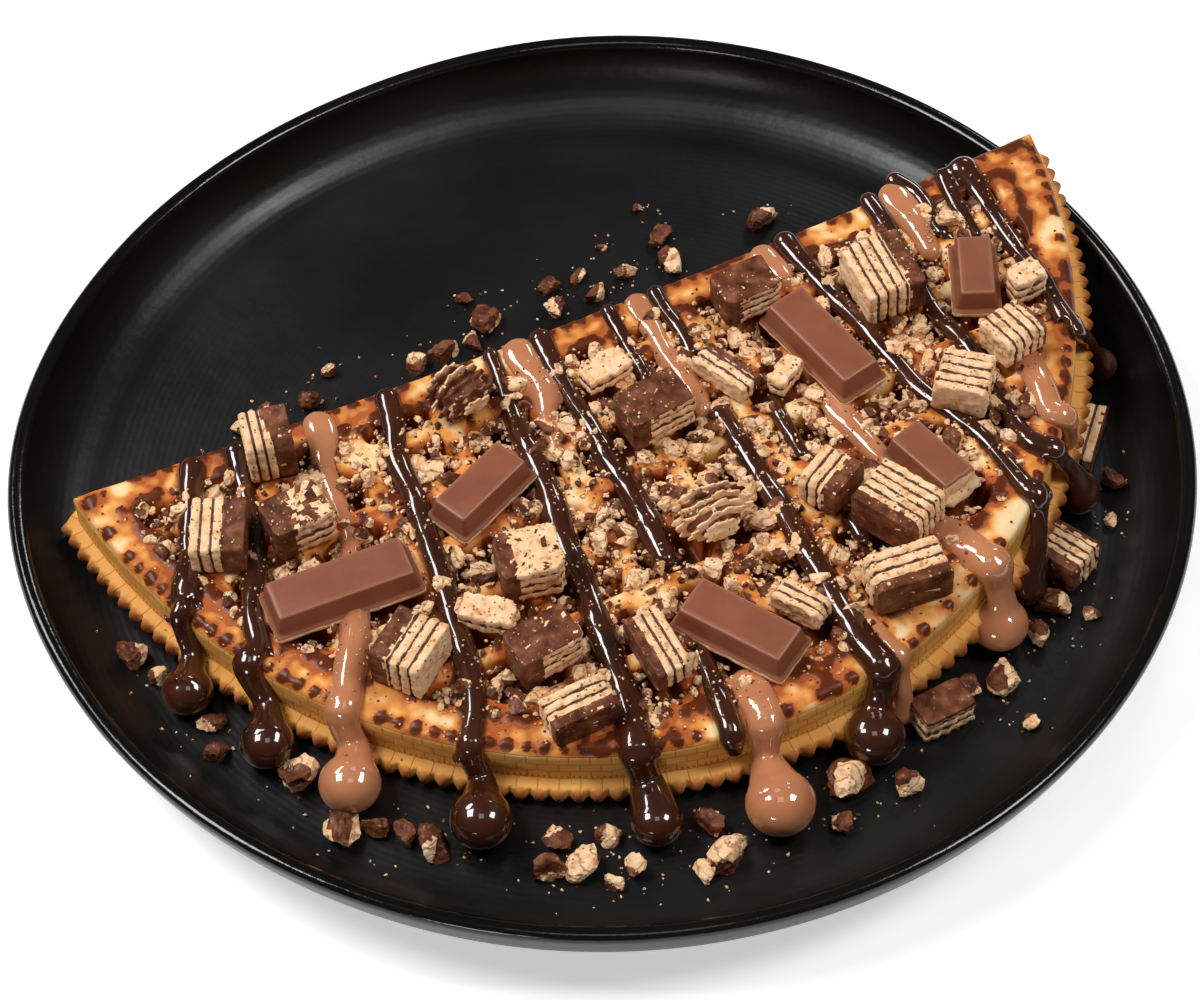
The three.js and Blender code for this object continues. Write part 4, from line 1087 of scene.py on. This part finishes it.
# ---- crumbs -----------------------------------------------------------------------------------
def crumb(centre, radius, rng, level, squash=0.8):
    """A broken bit: a ball cut by random planes, then roughened."""
    points, faces = ICO[level]
    cuts = 9
    ways = unit(np.array([[rng.gauss(0, 1) for _ in range(3)] for _ in range(cuts)]))
    far = np.array([rng.uniform(0.45, 0.9) for _ in range(cuts)])
    reach = np.min(far / np.maximum(points @ ways.T, 0.3), axis=1)
    grown = points * np.minimum(reach, 1.15)[:, None]
    if level:
        shift = Vector([rng.uniform(0, 90) for _ in range(3)])
        rough = [1 + 0.2 * noise.noise(Vector(p) * 4.1 + shift) for p in points]
        grown *= np.array(rough)[:, None]
    grown *= np.array([rng.uniform(0.95, 1.35), rng.uniform(0.8, 1.1), squash])
    spin = np.array(Matrix.Rotation(rng.uniform(0, 6.28), 3, "Z"))
    return grown @ spin.T * radius + np.asarray(centre), faces


def lumps(name, spots, seed, node, choc_share, matrix=None):
    """Many crumbs as one mesh; each is wafer with chocolate on a share of its faces."""
    rng = random.Random(seed)
    parts, kinds, layers = [], [], []
    for x, y, z, radius in spots:
        level = 2 if radius > 1.7 else 1 if radius > 0.6 else 0
        lump = crumb((x, y, z), radius, rng, level)
        parts.append(lump)
        lie = np.array([rng.gauss(0, 0.6), rng.gauss(0, 0.6), 1])
        layers.append((lump[0] - (x, y, z)) @ lie / np.linalg.norm(lie) / 2.3 + rng.random())
        way = np.array([rng.gauss(0, 1), rng.gauss(0, 1), rng.gauss(0, 1) + 0.4])
        way /= np.linalg.norm(way)
        cut = rng.uniform(-0.7, 0.7) + (0.5 - choc_share) * 1.6
        for f in lump[1]:
            middle = (lump[0][list(f)].mean(0) - (x, y, z)) / radius
            kinds.append(0 if middle @ way > cut else 1)
    points, faces = joined(parts)
    if matrix is not None:
        points = moved(points, matrix)
    piece(name, points, faces, [COAT, CRUMBLED], node, kinds=kinds,
          marks={"layer": np.concatenate(layers)}, smooth=False)


def blocks_crumb(u, v, radius):
    """Whether a crumb here would lie inside a bar, a chunk or a heap."""
    for _, at, size, turn, *_ in [*BARS, *CHUNKS, *HEAPS]:
        a = -math.radians(turn)
        x = (u - at[0]) * math.cos(a) - (v - at[1]) * math.sin(a)
        y = (u - at[0]) * math.sin(a) + (v - at[1]) * math.cos(a)
        if abs(x) < size[0] / 2 + radius * 0.45 and abs(y) < size[1] / 2 + radius * 0.45:
            return True
    return False


def waffle_crumbs(rng, pitch, radii, chance):
    """Crumbs strewn over the pocketed field: [u, v, w, radius]."""
    spots = []
    v = -3.0
    while v > -118:
        u = -118.0
        while u < 118:
            x = u + rng.uniform(-0.6, 0.6) * pitch
            y = v + rng.uniform(-0.6, 0.6) * pitch
            radius = rng.uniform(*radii)
            e = edge_distance(x, y)
            keep = chance * blend(5, 12, e) * blend(108, 98, x)
            deep = pocket_share(x, y)
            if rng.random() < keep * (0.4 + 0.6 * deep) and not blocks_crumb(x, y, radius):
                lift = radius * 0.35 - deep * rng.uniform(0.5, 4.5)
                spots.append((x, y, THICK + lift, radius))
            u += pitch
        v -= pitch
    return spots


def dust_spots(rng):
    """Fine crumbs on whatever lies uppermost, apart from the bars: [x, y, z, radius]."""
    view = bpy.context.evaluated_depsgraph_get()
    spots, tries = [], 5200
    for _ in range(tries):
        u, v = rng.uniform(-112, 112), rng.uniform(-118, -2)
        if edge_distance(u, v) < rng.uniform(0.5, 13):
            continue
        start = POSE @ Vector((u, v, 60))
        hit, spot, way, _, under, _ = bpy.context.scene.ray_cast(view, start * MM, (0, 0, -1))
        bare = hit and under.name.startswith(("bar", "plate"))
        if hit and way.z > 0.35 and under.name in MADE and not bare:
            size = rng.uniform(0.17, 0.42)
            spots.append((spot.x / MM, spot.y / MM, spot.z / MM + 0.4 * size, size))
    return spots


def make_crumbs():
    """All crumbs, from the large ones in the pockets to the dust on the plate."""
    rng = random.Random(5)
    for name, pitch, radii, chance, seed, choc_share in (
            ("crumbs_large_on_waffle", 4.8, (1.7, 3.0), 1.0, 31, 0.22),
            ("crumbs_middling_on_waffle", 2.9, (0.8, 1.6), 1.1, 35, 0.25),
            ("crumbs_small_on_waffle", 1.7, (0.35, 0.8), 0.95, 32, 0.3)):
        lumps(name, waffle_crumbs(rng, pitch, radii, chance), seed, "waffle", choc_share, POSE)
    spots = [(x, y, inside_at(math.hypot(x, y)) + radius * 0.5, radius)
             for x, y, radius in PLATE_CRUMBS]
    lumps("crumbs_on_plate", spots, 33, "plate", 0.55)
    dust, per_crumb, shed = [], 7, 8
    round_beads = [(b[0], b[1], 6) for _, b in DARK_RUNS + MILK_RUNS if isinstance(b, tuple)]
    for x, y, radius in PLATE_CRUMBS + round_beads:
        for _ in range(per_crumb):
            a, far = rng.uniform(0, 6.28), rng.uniform(radius, radius + shed)
            px, py = x + far * math.cos(a), y + far * math.sin(a)
            local = to_waffle(px, py, FLOOR)
            outside = edge_distance(local[0], local[1]) < -CRIMP_REACH - 0.6
            if outside and math.hypot(px, py) < 122:
                size = rng.uniform(0.18, 0.5)
                dust.append((px, py, inside_at(math.hypot(px, py)) + size * 0.5, size))
    lumps("crumb_dust_on_plate", dust, 34, "plate", 0.3)
    lumps("crumb_dust_on_waffle", dust_spots(rng), 36, "waffle", 0.25)


# ---- camera, light and floor ------------------------------------------------------------------
def make_camera():
    """The photograph's view: a long lens from the front, looking down at about 51 degrees."""
    lens = bpy.data.cameras.new("camera")
    lens.lens, lens.sensor_width = 105, 36
    lens.clip_start, lens.clip_end = 0.05, 20
    rise, roll, distance = math.radians(50.65), math.radians(2.07), 817.8
    back = Vector((0, -math.cos(rise), math.sin(rise)))
    right = Vector((1, 0, 0))
    up = back.cross(right)
    turned = [right * math.cos(roll) - up * math.sin(roll),
              right * math.sin(roll) + up * math.cos(roll)]
    basis = Matrix((turned[0], turned[1], back)).transposed().to_4x4()
    eye = (Vector((-1.67, 1.31, 0)) + back * distance) * MM
    made = bpy.data.objects.new("camera", lens)
    made.matrix_world = Matrix.Translation(eye) @ basis
    bpy.context.scene.collection.objects.link(made)
    bpy.context.scene.camera = made


def make_light(name, way, size, power):
    """A softbox: way is [azimuth, elevation] in degrees, size its two sides in metres."""
    a, e = (math.radians(x) for x in way)
    far = 1.5
    place = Vector((math.cos(a) * math.cos(e), math.sin(a) * math.cos(e), math.sin(e))) * far
    lamp = bpy.data.lights.new(name, "AREA")
    lamp.shape, lamp.size, lamp.size_y = "RECTANGLE", *size
    lamp.energy = power
    made = bpy.data.objects.new(name, lamp)
    aim = place.to_track_quat("Z", "Y").to_matrix().to_4x4()
    made.matrix_world = Matrix.Translation(place) @ aim
    bpy.context.scene.collection.objects.link(made)


def make_studio():
    """A plain pale floor with a faint painted glow that lightens the shadows on it, a dim even
    surround and six softboxes.
    """
    mesh = bpy.data.meshes.new("floor")
    mesh.from_pydata([(-3, -3, 0), (3, -3, 0), (3, 3, 0), (-3, 3, 0)], [], [(0, 1, 2, 3)])
    material, tree, place = new_finish("pale_paper_sweep_with_painted_glow")
    _, colour = clouded(tree, place, 60, 2, [(0.3, "#F4F4F4"), (0.7, "#F8F8F8")])
    # The floor's emission is a painted glow: it lifts the shadows that fall on the floor.
    shade(tree, {"Base Color": colour, "Roughness": 0.9, "Emission Color": tone("#FFFFFF"),
                 "Emission Strength": 0.5})
    mesh.materials.append(material)
    floor = bpy.data.objects.new("floor", mesh)
    bpy.context.scene.collection.objects.link(floor)
    world = bpy.data.worlds.new("studio")
    world.use_nodes = True
    for socket, value in ((0, tone("#FFFFFF")), (1, 0.05)):
        world.node_tree.nodes["Background"].inputs[socket].default_value = value
    bpy.context.scene.world = world
    bpy.context.scene.view_settings.view_transform = "Standard"
    for light in (("window_left", (176, 57), (0.56, 0.46), 12.5),
                  ("window_right", (-8, 56), (0.46, 0.4), 8.5),
                  ("overhead", (-90, 78), (0.4, 0.4), 1.0),
                  ("front_card", (-112, 12), (0.34, 0.22), 2.8),
                  ("back_left", (142, 47), (0.46, 0.3), 5.5),
                  ("back_right", (67, 34), (0.26, 0.2), 1.8)):
        make_light(*light)


make_camera()
make_studio()
make_plate()
make_waffle()
make_sauce("sauce_dark", DARK_RUNS, DARK_SAUCE, 3, 0.0)
make_sauce("sauce_milk", MILK_RUNS, MILK_SAUCE, 7, 0.5)
for bar in BARS:
    make_bar(*bar)
for chunk in CHUNKS:
    make_chunk(*chunk)
for chunk in PLATE_CHUNKS:
    make_chunk(*chunk, on_plate=True)
for heap in HEAPS:
    make_heap(*heap)
make_crumbs()
